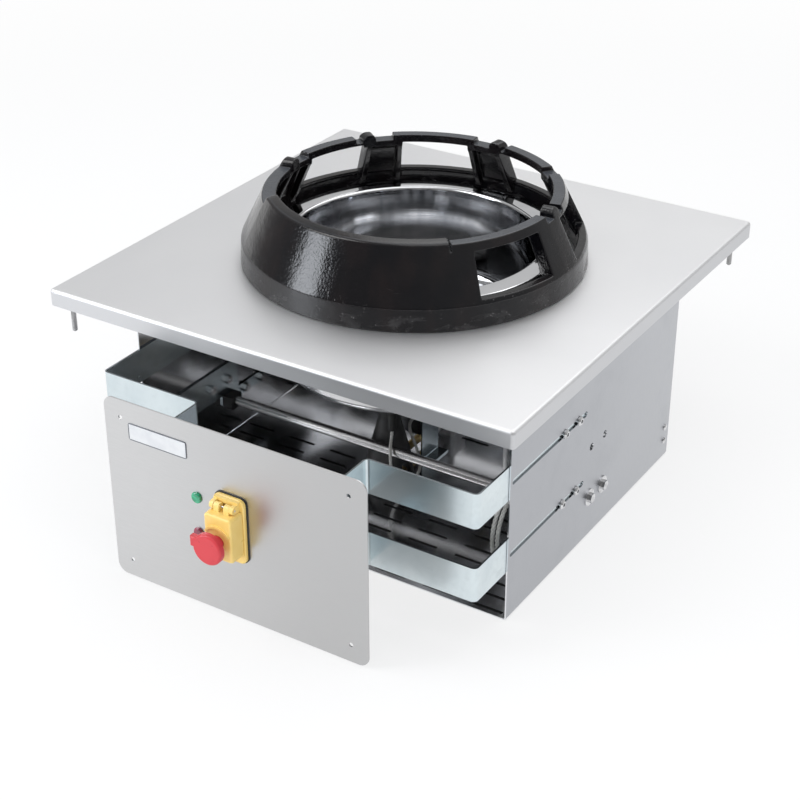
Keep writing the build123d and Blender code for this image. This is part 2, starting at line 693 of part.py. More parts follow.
def make_ignition_bracket():
    """Angle from the floor up the right side of the ignition box."""
    side = IGNITER_X + IGNITER_WIDTH / 2
    top = IGNITER_Z + IGNITER_HEIGHT
    points = [(side, top), (side, FLOOR_Z), (side + IGNITER_FOOT, FLOOR_Z)]
    section = folded(points, 3, IGNITER_BRACKET, Side.LEFT)
    return along_y(section, IGNITER_BACK, IGNITER_BACK + IGNITER_DEPTH)


def make_electrode():
    """Ceramic rod through the pot's bottom with a metal tip."""
    top = POT_FLOOR + ELECTRODE_ABOVE
    rod = along_z(Circle(ELECTRODE_R), POT_BOTTOM - 4, top)
    rod += along_z(Circle(ELECTRODE_R + 1.5), POT_FLOOR, POT_FLOOR + 3)
    rod += along_z(Circle(ELECTRODE_TIP_R), top, top + 8)
    return Pos(ELECTRODE_X, ELECTRODE_BACK, 0) * rod


def make_electrode_cap():
    """Soft cap pushed over the electrode's lower end."""
    cap = along_z(Circle(ELECTRODE_CAP_R), POT_BOTTOM - ELECTRODE_CAP, POT_BOTTOM)
    cap = fillet(cap.edges().sort_by(Axis.Z)[0], 1.5)
    cap -= along_z(Circle(ELECTRODE_R), POT_BOTTOM - 4, POT_BOTTOM + 1)
    return Pos(ELECTRODE_X, ELECTRODE_BACK, 0) * cap


def cord(name, points, diameter):
    """A round cable along straight runs, joined by arcs as large as the runs allow."""
    corners = [Vector(*point) for point in points]
    radii = []
    for before, corner, after in zip(corners, corners[1:], corners[2:]):
        turn = radians((corner - before).get_angle(after - corner))
        shorter = min((corner - before).length, (after - corner).length)
        radii.append(0.45 * shorter / tan(turn / 2))
    path = FilletPolyline(*corners, radius=radii)
    profile = Plane(origin=corners[0], z_dir=corners[1] - corners[0]) * Circle(diameter / 2)
    solid = sweep(profile, path=path)
    expected = profile.area * path.length
    print(name, "length", round(path.length), "radii", [round(r) for r in radii],
          "volume ratio", round(solid.volume / expected, 4))
    return solid


def make_ignition_lead():
    """Braided lead from the electrode's cap, down in front of the gas tube, back to the box."""
    front = TUBE_BACK - TUBE_R - LEAD_DIA
    cap_bottom = POT_BOTTOM - ELECTRODE_CAP
    box_x = IGNITER_X + 8
    box_z = IGNITER_Z + 20
    return cord("ignition lead", [
        (ELECTRODE_X, ELECTRODE_BACK, cap_bottom),
        (ELECTRODE_X, ELECTRODE_BACK, cap_bottom - 6),
        (ELECTRODE_X + 6, front, cap_bottom - 18),
        (ELECTRODE_X + 9, front - 3, cap_bottom - 36),
        (ELECTRODE_X + 10, front - 2, cap_bottom - 54),
        (ELECTRODE_X + 14, front + 10, FLOOR_Z + 10),
        (ELECTRODE_X + 20, front + 30, FLOOR_Z + 6),
        (ELECTRODE_X + 18, front + 51, FLOOR_Z + 14),
        (ELECTRODE_X + 4, front + 60, FLOOR_Z + 34),
        (box_x, IGNITER_BACK - 14, box_z),
        (box_x, IGNITER_BACK, box_z),
    ], LEAD_DIA)


# --- Wiring ---
def make_cable_gland():
    """Gland in the back panel: nut inside, hexagon and domed cap outside."""
    outline = [
        (GLAND_BORE_R, -16), (8, -16), (10, -12), (10, -5), (GLAND_FLATS / 2 - 3, -5),
        (GLAND_FLATS / 2 - 3, BACK_SHEET + 5), (GLAND_BORE_R, BACK_SHEET + 5),
    ]
    gland = revolve(Plane.XZ * make_face(Polyline(*outline, close=True)), Axis.Z)
    gland += along_z(hexagon(GLAND_FLATS) - Circle(GLAND_BORE_R), -5, 0)
    gland += along_z(hexagon(GLAND_FLATS) - Circle(GLAND_BORE_R), BACK_SHEET, BACK_SHEET + 5)
    return Plane(origin=(GLAND_X, BACK_Y, GLAND_Z), x_dir=(1, 0, 0), z_dir=(0, -1, 0)) * gland


def cable_route(shift):
    """From the gland along the floor's right edge, up in an arc and back to the terminal block."""
    x = HOUSE_RIGHT - HOUSE_SHEET - 17 - shift
    start = BACK_Y - BACK_SHEET - 5
    terminal = TERMINAL_Z + TERMINAL_HEIGHT / 2
    return [
        (GLAND_X - shift, start, GLAND_Z),
        (GLAND_X - shift, start - 32, GLAND_Z),
        (GLAND_X + 8 - shift, start - 76, GLAND_Z - 16),
        (x, start - 130, FLOOR_Z + 8),
        (x, start - 190, FLOOR_Z + 5),
        (x + 1, start - 250, FLOOR_Z + 6),
        (x, start - 303, FLOOR_Z + 9),
        (x - 2, TERMINAL_FRONT - 30, FLOOR_Z + 26),
        (x - 4, TERMINAL_FRONT - 48, FLOOR_Z + 60),
        (x - 4, TERMINAL_FRONT - 48, FLOOR_Z + 96),
        (x - 1, TERMINAL_FRONT - 32, terminal - 3),
        (x, TERMINAL_FRONT - 14, terminal),
        (x, TERMINAL_FRONT, terminal),
    ]


def make_wiring():
    """Two braided cables side by side."""
    return group(
        cord("cable", cable_route(i * CABLE_PITCH), CABLE_DIA) for i in range(2)
    )


def make_terminal_block():
    """Terminal block on the right wall between the bracket arms."""
    wall = HOUSE_RIGHT - HOUSE_SHEET
    inner = wall - TERMINAL_WIDTH
    back = TERMINAL_FRONT + TERMINAL_LENGTH
    body = block(inner, wall, TERMINAL_FRONT, back, TERMINAL_Z, TERMINAL_Z + TERMINAL_HEIGHT)
    body = fillet(body.edges().filter_by(Axis.X), 2)
    pocket = block(inner - 1, inner + 4, 0, 6, TERMINAL_Z + 4, TERMINAL_Z + 20)
    pitch = TERMINAL_LENGTH / 3
    return body - [Pos(0, TERMINAL_FRONT + (i + 0.5) * pitch - 3, 0) * pocket for i in range(3)]


# --- Wok ring ---
def cone_r(z):
    """Outer radius of the ring's wall at a height."""
    foot = RING_FOOT_R - RING_BAND_TAPER
    return foot + (RING_RIM_R - foot) * (z - RING_BAND) / (RING_NOTCH_Z - RING_BAND)


def swept_sector(face, start, span):
    """A (radius, height) face turned through a span of degrees from a start angle."""
    return Rot(0, 0, start) * revolve(Plane.XZ * face, Axis.Z, revolution_arc=span)


def wall_face(level):
    """Section of the ring: foot band, cone wall and thick rim up to a level."""
    rim_under = level - RING_RIM_DEPTH
    neck = rim_under - RING_RIM_DEPTH / 2
    face = make_face(Polyline(
        (RING_FOOT_INNER_R, 0),
        (RING_FOOT_R, 0),
        (RING_FOOT_R - RING_BAND_TAPER, RING_BAND),
        (cone_r(level), level),
        (RING_RIM_INNER_R, level),
        (RING_RIM_INNER_R, rim_under),
        (cone_r(neck) - RING_WALL, neck),
        (cone_r(RING_BAND) - RING_WALL, RING_BAND),
        close=True,
    ))
    return fillet(face.vertices().group_by(Axis.Y)[-1], RING_RIM_EDGE)


def raised_rim(start, end, level):
    """Rim over a window, between two angles and up to a level."""
    low = RING_NOTCH_Z - RING_RIM_DEPTH / 2
    face = make_face(Polyline(
        (RING_RIM_INNER_R + RAISE_STEP, low),
        (cone_r(low) - RAISE_STEP, low),
        (cone_r(level) - RAISE_STEP, level),
        (RING_RIM_INNER_R + RAISE_STEP, level),
        close=True,
    ))
    face = fillet(face.vertices().group_by(Axis.Y)[-1], RING_RIM_EDGE)
    return swept_sector(face, start, end - start)


def ring_window(top):
    """Cutter for one window up to a height, with rounded corners."""
    reach = RING_RIM_INNER_R - 20
    face = Pos((reach + RING_FOOT_R + 10) / 2, (WINDOW_BOTTOM + top) / 2) * Rectangle(
        RING_FOOT_R + 10 - reach, top - WINDOW_BOTTOM
    )
    cutter = swept_sector(face, -WINDOW_ANGLE / 2, WINDOW_ANGLE)
    radial = cutter.edges().filter_by(GeomType.LINE).filter_by(lambda e: abs(e.tangent_at(0.5).Z) < 0.1)
    return fillet(radial, WINDOW_CORNER)


def ring_rib():
    """One upright rib on the inside of the wall."""
    top = RING_NOTCH_Z - RING_RIM_DEPTH
    low = RING_BAND * 0.6
    outline = Polyline(
        (cone_r(RING_BAND) - RING_WALL + 1, low),
        (RING_FOOT_INNER_R - 1, low),
        (RING_FOOT_INNER_R - RIB_DEPTH, RING_BAND),
        (RING_RIM_INNER_R + 0.5, top),
        (cone_r(top) - 1, top + 1),
        (cone_r(RING_BAND) - 1, RING_BAND),
        close=True,
    )
    return swept_sector(make_face(outline), -RIB_ANGLE / 2, RIB_ANGLE)


def ring_lug():
    """Rounded lug across the rim."""
    height = LUG_RAISE + RING_RIM_DEPTH / 2
    face = Pos(0, RING_NOTCH_Z + LUG_RAISE - height / 2) * Rectangle(LUG_WIDTH, height)
    face = fillet(face.vertices().group_by(Axis.Y)[-1], LUG_ROUND)
    return along_x(face, RING_RIM_INNER_R - LUG_OVERHANG, cone_r(RING_NOTCH_Z + LUG_RAISE / 2))


def make_wok_ring():
    """Cast ring: high solid front, five windows between ribbed posts, notched rim with lugs."""
    first, last = FRONT_SPAN
    ring = swept_sector(wall_face(RING_FRONT_Z), first, last - first)
    ring += swept_sector(wall_face(RING_NOTCH_Z), last, 360 + first - last)
    for start, end, level in WINDOW_RIMS:
        ring += raised_rim(start, end, level)
    post_half = (POST_PITCH - WINDOW_ANGLE) / 2
    rib = ring_rib()
    for i in range(len(WINDOW_RIMS) + 1):
        for edge in (-1, 1):
            angle = FIRST_POST + i * POST_PITCH + edge * (post_half - RIB_ANGLE / 2)
            ring += Rot(0, 0, angle) * rib
    for i, (start, end, level) in enumerate(WINDOW_RIMS):
        window = ring_window(level - RIM_OVER_WINDOW)
        ring -= Rot(0, 0, FIRST_POST + (i + 0.5) * POST_PITCH) * window
    lug = ring_lug()
    for angle in LUG_ANGLES:
        ring += Rot(0, 0, angle) * lug
    return Pos(*BURNER, TOP_HEIGHT + RING_SEAT_GAP) * ring


# --- Z brackets and their bolts ---
def make_bracket(level, side):
    """Strip folded three times: arm on the side wall, front wall, forward wall, panel flange."""
    outer = INNER_HALF - BRACKET_WALL_GAP
    inner = outer - BRACKET_FRONT_WIDTH
    middle = SLOT_Z[level]
    points = [
        (outer, BRACKET_ARM_END),
        (outer, -BRACKET_FRONT),
        (inner, -BRACKET_FRONT),
        (inner, PANEL_BACK_Y + STRIP),
        (inner + BRACKET_FLANGE, PANEL_BACK_Y + STRIP),
    ]
    bends = [STRIP_BEND, STRIP_BEND - STRIP, STRIP_BEND - STRIP]
    section = folded(points, bends, STRIP, Side.RIGHT)
    strip = along_z(section, middle - STRIP_HEIGHT / 2, middle + STRIP_HEIGHT / 2)
    holes = Sketch() + [Pos(y, middle) * Circle(BOLT_R) for y in BRACKET_BOLT_Y]
    return sideways(side, strip - along_x(holes, outer - 2 * STRIP, outer + STRIP))


def each_bracket_bolt():
    """Side, place and height of the eight bracket bolts."""
    return [(side, y, z) for side in (-1, 1) for y in BRACKET_BOLT_Y for z in SLOT_Z.values()]


def make_bracket_bolts():
    """Button heads outside, shanks through the slots and the arms."""
    seat = HOUSE_HALF + BRACKET_WALL_GAP
    end = INNER_HALF - BRACKET_WALL_GAP - STRIP - NUT_HEIGHT - BOLT_BEYOND_NUT
    bolts = []
    for side, y, z in each_bracket_bolt():
        bolt = along_x(Pos(y, z) * Circle(BUTTON_HEAD_R), seat, seat + BUTTON_HEAD)
        bolt = chamfer(bolt.edges().sort_by(Axis.X)[-1], BUTTON_HEAD * 0.5)
        bolt -= along_x(Pos(y, z) * hexagon(HEX_KEY), seat + BUTTON_HEAD - 2, seat + BUTTON_HEAD + 1)
        bolt += along_x(Pos(y, z) * Circle(BOLT_R), end, seat)
        bolts.append(sideways(side, bolt))
    return group(bolts)


def make_bracket_nuts():
    face = hexagon(HEX_FLATS) - Circle(BOLT_R)
    seat = INNER_HALF - BRACKET_WALL_GAP - STRIP
    return group(
        sideways(side, along_x(Pos(y, z) * face, seat - NUT_HEIGHT, seat))
        for side, y, z in each_bracket_bolt()
    )


# --- Control panel and lamps ---
def make_control_panel():
    """Flat sheet with rounded corners, corner holes, lamp holes and the switch cut-out."""
    middle = PANEL_BOTTOM + PANEL_HEIGHT / 2
    face = Pos(HOUSE_MID, middle) * RectangleRounded(PANEL_WIDTH, PANEL_HEIGHT, PANEL_CORNER)
    out = PANEL_WIDTH / 2 - PANEL_HOLE_INSET
    up = PANEL_HEIGHT / 2 - PANEL_HOLE_INSET
    face -= [Pos(HOUSE_MID + x, middle + z) * Circle(PANEL_HOLE_R) for x in (-out, out) for z in (-up, up)]
    for z in (GREEN_LAMP_Z, RED_LAMP_Z):
        face -= Pos(LAMP_X, z) * Circle(LAMP_R)
    cutout = Rectangle(CONTACT_WIDTH + 2 * CUTOUT_GAP, CONTACT_HEIGHT + 2 * CUTOUT_GAP)
    face -= Pos(SWITCH_X, SWITCH_Z) * cutout
    return along_y(face, PANEL_Y, PANEL_BACK_Y)


def make_lamp(z):
    """Domed lens with its body behind the panel."""
    lamp = along_y(Pos(LAMP_X, z) * Circle(LENS_R), PANEL_Y - LENS_PROUD, PANEL_Y)
    lamp = fillet(lamp.edges().sort_by(Axis.Y)[0], LENS_PROUD * 0.8)
    return lamp + along_y(Pos(LAMP_X, z) * Circle(LAMP_R), PANEL_Y, PANEL_Y + LAMP_LENGTH)


def make_lamp_nuts():
    face = hexagon(LAMP_NUT_FLATS) - Circle(LAMP_R)
    return group(
        along_y(Pos(LAMP_X, z) * face, PANEL_BACK_Y, PANEL_BACK_Y + LAMP_NUT)
        for z in (GREEN_LAMP_Z, RED_LAMP_Z)
    )


# --- Emergency-stop switch ---
def cutout_face():
    return Pos(SWITCH_X, SWITCH_Z) * Rectangle(CONTACT_WIDTH, CONTACT_HEIGHT)


def make_switch_gasket():
    """Black gasket between the switch and the panel."""
    face = Pos(SWITCH_X, SWITCH_Z) * RectangleRounded(SWITCH_WIDTH, SWITCH_HEIGHT, SWITCH_CORNER)
    return along_y(face - cutout_face(), GASKET_Y, PANEL_Y)


def button_holes():
    """Openings in the base round both buttons."""
    start = Pos(SWITCH_X, START_Z) * Rectangle(BUTTON_WIDTH + 2 * BUTTON_GAP, START_HEIGHT + 2 * BUTTON_GAP)
    stop = Pos(SWITCH_X, STOP_Z) * Rectangle(BUTTON_WIDTH + 2 * BUTTON_GAP, STOP_HEIGHT + 2 * BUTTON_GAP)
    return start + stop


def hinge_section(radius, back):
    """Section of a hinge ear: round about the pin, with a foot back to the base."""
    face = Pos(PIN_Y, PIN_Z) * Circle(radius)
    return face + Pos((PIN_Y + back) / 2, PIN_Z) * Rectangle(back - PIN_Y, 2 * radius)


def make_switch_base():
    """Yellow base: plate, raised block round the buttons, hinge ears joined by a bar."""
    plate = Pos(SWITCH_X, SWITCH_Z) * RectangleRounded(
        SWITCH_WIDTH - 2 * BASE_EDGE, SWITCH_HEIGHT - 2 * BASE_EDGE, SWITCH_CORNER - BASE_EDGE
    )
    base = along_y(plate, BASE_Y, GASKET_Y)
    base = chamfer(base.faces().sort_by(Axis.Y)[0].edges(), 1)
    step = Rectangle(BUTTON_WIDTH + 7, START_HEIGHT + STOP_HEIGHT + 11)
    base += along_y(Pos(SWITCH_X, (START_Z + STOP_Z) / 2 - 1) * step, STEP_Y, BASE_Y)
    base -= along_y(button_holes(), STEP_Y - 1, GASKET_Y + 1)
    ear = hinge_section(EAR_R, BASE_Y + 1)
    pin_hole = Pos(PIN_Y, PIN_Z) * Circle(PIN_R)
    first = KNUCKLE_GAP / 2 + KNUCKLE_WIDTH + EAR_SIDE_GAP
    for side in (-1, 1):
        x0, x1 = sorted((side * first, side * (first + EAR_WIDTH)))
        base += along_x(ear - pin_hole, SWITCH_X + x0, SWITCH_X + x1)
    reach = first + EAR_WIDTH
    bar_front = PIN_Y + KNUCKLE_R + EAR_SIDE_GAP
    bar_top = PIN_Z + EAR_R + 2
    base += block(SWITCH_X - reach, SWITCH_X + reach, bar_front, BASE_Y + 1, bar_top - EAR_BAR, bar_top)
    return base


def make_contact_block():
    """Switch mechanism behind the panel, with a spring tab on each side."""
    inner = Pos(SWITCH_X, SWITCH_Z) * Rectangle(CONTACT_WIDTH - 1, CONTACT_HEIGHT - 1)
    body = along_y(inner, GASKET_Y, PANEL_Y + CONTACT_DEPTH)
    body = fillet(body.edges().filter_by(Axis.Y), 2)
    tab = Pos(SWITCH_X, SWITCH_Z) * Rectangle(CONTACT_WIDTH + 2 * CONTACT_TAB, 14)
    return body + along_y(tab, PANEL_BACK_Y, PANEL_BACK_Y + 6)


def make_push_button(z, height):
    """Rectangular button with a dished front."""
    back = GASKET_Y - BUTTON_TRAVEL - BUTTON_GAP
    face = Pos(SWITCH_X, z) * RectangleRounded(BUTTON_WIDTH, height, 1)
    button = along_y(face, BUTTON_Y, back)
    return fillet(button.faces().sort_by(Axis.Y)[0].edges(), 0.6)


def cover_shell(shrink, front):
    """Drafted block between the cover's back and front, narrower by a wall on every side."""
    height = COVER_TOP - COVER_BOTTOM
    middle = Pos(SWITCH_X, (COVER_TOP + COVER_BOTTOM) / 2)
    back = Plane(origin=(0, BASE_Y - COVER_GAP, 0), x_dir=(1, 0, 0), z_dir=(0, -1, 0))
    face_plane = Plane(origin=(0, front, 0), x_dir=(1, 0, 0), z_dir=(0, -1, 0))
    wide = RectangleRounded(COVER_WIDTH - 2 * shrink, height - 2 * shrink, COVER_ROUND - shrink / 2)
    trim = 2 * (shrink + COVER_DRAFT)
    narrow = RectangleRounded(COVER_WIDTH - trim, height - trim, COVER_ROUND - shrink / 2)
    return loft([back * (middle * wide), face_plane * (middle * narrow)])


def make_switch_cover():
    """Hinged cover: drafted shell, arched ridge, hinge knuckles and a latch tab."""
    outer = cover_shell(0, COVER_Y)
    outer = fillet(outer.faces().sort_by(Axis.Y)[0].edges(), COVER_ROUND - 1)
    cover = outer - cover_shell(COVER_WALL, COVER_Y + COVER_WALL)
    axis = Pos(SWITCH_X, STOP_AXIS_Z)
    ridge = Circle(RIDGE_R + RIDGE_WIDTH / 2) - Circle(RIDGE_R - RIDGE_WIDTH / 2)
    reach = 2 * RIDGE_R
    wedge = make_face(Polyline(
        (0, 0),
        (-reach * sin(radians(RIDGE_HALF_SPAN)), reach * cos(radians(RIDGE_HALF_SPAN))),
        (-reach, 2 * reach),
        (reach, 2 * reach),
        (reach * sin(radians(RIDGE_HALF_SPAN)), reach * cos(radians(RIDGE_HALF_SPAN))),
        close=True,
    ))
    cover += along_y(axis * (ridge & wedge), COVER_Y - RIDGE_HEIGHT, COVER_Y + COVER_WALL / 2)
    knuckle = Pos(PIN_Y, PIN_Z) * Circle(KNUCKLE_R)
    knuckle += Pos(PIN_Y, (PIN_Z + COVER_TOP - 1) / 2) * Rectangle(2 * KNUCKLE_R, PIN_Z - COVER_TOP + 1)
    knuckle -= Pos(PIN_Y, PIN_Z) * Circle(PIN_R + PIN_RUNNING_FIT)
    for side in (-1, 1):
        x0, x1 = sorted((side * KNUCKLE_GAP / 2, side * (KNUCKLE_GAP / 2 + KNUCKLE_WIDTH)))
        cover += along_x(knuckle, SWITCH_X + x0, SWITCH_X + x1)
    latch_back = BASE_Y - COVER_GAP
    latch = block(
        SWITCH_X - LATCH_WIDTH / 2, SWITCH_X + LATCH_WIDTH / 2, latch_back - LATCH_THICK, latch_back,
        COVER_BOTTOM - LATCH_LENGTH, COVER_BOTTOM + COVER_WALL,
    )
    cover += fillet(latch.edges().filter_by(Axis.Y).group_by(Axis.Z)[0], 2)
    return cover - along_y(axis * Circle(STEM_R + STEM_GAP), COVER_Y - 5, COVER_Y + COVER_WALL + 1)


def make_hinge_pin():
    reach = KNUCKLE_GAP / 2 + KNUCKLE_WIDTH + EAR_SIDE_GAP + EAR_WIDTH
    return along_x(Pos(PIN_Y, PIN_Z) * Circle(PIN_R), SWITCH_X - reach, SWITCH_X + reach)


def make_stop_mushroom():
    """Wide red disc with a side tab, its stem and the flange that keeps it in the cover."""
    axis = Pos(SWITCH_X, STOP_AXIS_Z)
    plan = Circle(DISC_R) + Pos(-(DISC_R + DISC_TAB_REACH) / 2, DISC_R * 0.25) * Rectangle(
        DISC_R + DISC_TAB_REACH, DISC_TAB_HEIGHT
    )
    disc = along_y(axis * plan, DISC_Y, DISC_Y + DISC_THICK)
    disc = fillet(disc.faces().sort_by(Axis.Y)[0].edges(), DISC_EDGE)
    stem = along_y(axis * Circle(STEM_R), DISC_Y + DISC_THICK, STEM_END_Y)
    flange_y = COVER_Y + COVER_WALL + STEM_GAP
    flange = along_y(axis * Circle(STEM_R + STEM_FLANGE_STEP), flange_y, flange_y + STEM_FLANGE)
    return disc + stem + flange


PARTS = {
    "worktop": make_worktop(),
    "worktop_studs": make_worktop_studs(),
    "housing": make_housing(),
    "back_panel": make_back_panel(),
    "rear_screws": make_rear_screws(),
    "side_washers": make_side_washers(),
    "side_bolts": make_side_bolts(),
    "side_nuts": make_side_nuts(),
    "tube_carriers": make_tube_carriers(),
    "gas_tube": make_gas_tube(),
    "tube_clips": make_tube_clips(),
    "combustion_bowl": make_combustion_bowl(),
    "burner_pot": make_burner_pot(),
    "burner_manifold": make_burner_manifold(),
    "burner_head": make_burner_head(),
    "mixing_tube": make_mixing_tube(),
    "gas_injector": make_gas_injector(),
    "gas_pipe": make_gas_pipe(),
    "gas_valve": make_gas_valve(),
    "supply_pipe": make_supply_pipe(),
    "gas_inlet": make_gas_inlet(),
    "ignition_box": make_ignition_box(),
    "ignition_bracket": make_ignition_bracket(),
    "electrode": make_electrode(),
    "electrode_cap": make_electrode_cap(),
    "ignition_lead": make_ignition_lead(),
    "wiring": make_wiring(),
    "terminal_block": make_terminal_block(),
    "cable_gland": make_cable_gland(),
    "wok_ring": make_wok_ring(),
    "bracket_upper_left": make_bracket("upper", -1),
    "bracket_upper_right": make_bracket("upper", 1),
    "bracket_lower_left": make_bracket("lower", -1),
    "bracket_lower_right": make_bracket("lower", 1),
    "bracket_bolts": make_bracket_bolts(),
    "bracket_nuts": make_bracket_nuts(),
    "control_panel": make_control_panel(),
    "green_lamp": make_lamp(GREEN_LAMP_Z),
    "red_lamp": make_lamp(RED_LAMP_Z),
    "lamp_nuts": make_lamp_nuts(),
    "switch_gasket": make_switch_gasket(),
    "switch_base": make_switch_base(),
    "contact_block": make_contact_block(),
    "start_button": make_push_button(START_Z, START_HEIGHT),
    "stop_button": make_push_button(STOP_Z, STOP_HEIGHT),
    "switch_cover": make_switch_cover(),
    "hinge_pin": make_hinge_pin(),
    "stop_mushroom": make_stop_mushroom(),
}

# The origin goes under the middle of the whole range's outline, on the surface it stands on.
boxes = [shape.bounding_box() for shape in PARTS.values()]
mid_x = (min(b.min.X for b in boxes) + max(b.max.X for b in boxes)) / 2
mid_y = (min(b.min.Y for b in boxes) + max(b.max.Y for b in boxes)) / 2
print("drawing origin in the part's frame", round(-mid_x, 3), round(-mid_y, 3))
for name, shape in PARTS.items():
    export_step(Pos(-mid_x, -mid_y, 0) * shape, f"parts/{name}.step")
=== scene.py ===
"""Looks of the built-in wok range: finishes, cast ring, bowl, leads, blank plate and studio."""
import math

import bmesh
import bpy
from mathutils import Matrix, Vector


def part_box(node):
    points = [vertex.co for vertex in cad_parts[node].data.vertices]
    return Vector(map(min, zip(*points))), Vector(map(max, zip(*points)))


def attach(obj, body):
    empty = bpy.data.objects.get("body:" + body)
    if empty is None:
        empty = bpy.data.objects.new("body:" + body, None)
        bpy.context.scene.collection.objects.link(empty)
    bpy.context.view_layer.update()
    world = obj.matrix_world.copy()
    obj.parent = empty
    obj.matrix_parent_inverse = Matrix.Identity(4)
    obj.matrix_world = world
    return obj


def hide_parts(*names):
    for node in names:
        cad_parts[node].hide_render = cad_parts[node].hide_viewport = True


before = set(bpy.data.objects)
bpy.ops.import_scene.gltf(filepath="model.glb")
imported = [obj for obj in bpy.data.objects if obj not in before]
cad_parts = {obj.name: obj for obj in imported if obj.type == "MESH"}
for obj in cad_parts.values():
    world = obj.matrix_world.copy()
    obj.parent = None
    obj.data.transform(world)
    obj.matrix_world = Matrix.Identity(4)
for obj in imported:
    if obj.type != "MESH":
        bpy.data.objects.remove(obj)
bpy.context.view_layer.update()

MM = 0.001

# --- Places that the CAD parts give ---
ring_low, ring_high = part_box("wok_ring")
BURNER = ((ring_low.x + ring_high.x) / 2, (ring_low.y + ring_high.y) / 2)
RING_SEAT = ring_low.z
TOP_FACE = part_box("worktop")[1].z
PANEL_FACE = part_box("control_panel")[0].y


# ---------------------------------------------------------------- camera
CAMERA_PLACE = (0.98427, -1.50533, 1.09824)
CAMERA_TILT = 60.395
CAMERA_TURN = 32.172
CAMERA_LENS = 78.806


def set_camera():
    """Camera at the photograph's viewing angle."""
    data = bpy.data.cameras.new("photo_camera")
    data.lens = CAMERA_LENS
    data.sensor_width = 36.0
    data.clip_end = 50.0
    camera = bpy.data.objects.new("photo_camera", data)
    camera.location = CAMERA_PLACE
    camera.rotation_euler = (math.radians(CAMERA_TILT), 0.0, math.radians(CAMERA_TURN))
    bpy.context.scene.collection.objects.link(camera)
    bpy.context.scene.camera = camera


set_camera()


# ---------------------------------------------------------------- shader writing
class Value:
    """A number that varies over a surface; arithmetic on it adds Math nodes."""

    def __init__(self, finish, socket):
        self.finish = finish
        self.socket = socket

    def __add__(self, other):
        return self.finish.maths("ADD", self, other)

    def __radd__(self, other):
        return self.finish.maths("ADD", other, self)

    def __sub__(self, other):
        return self.finish.maths("SUBTRACT", self, other)

    def __rsub__(self, other):
        return self.finish.maths("SUBTRACT", other, self)

    def __mul__(self, other):
        return self.finish.maths("MULTIPLY", self, other)

    def __rmul__(self, other):
        return self.finish.maths("MULTIPLY", other, self)


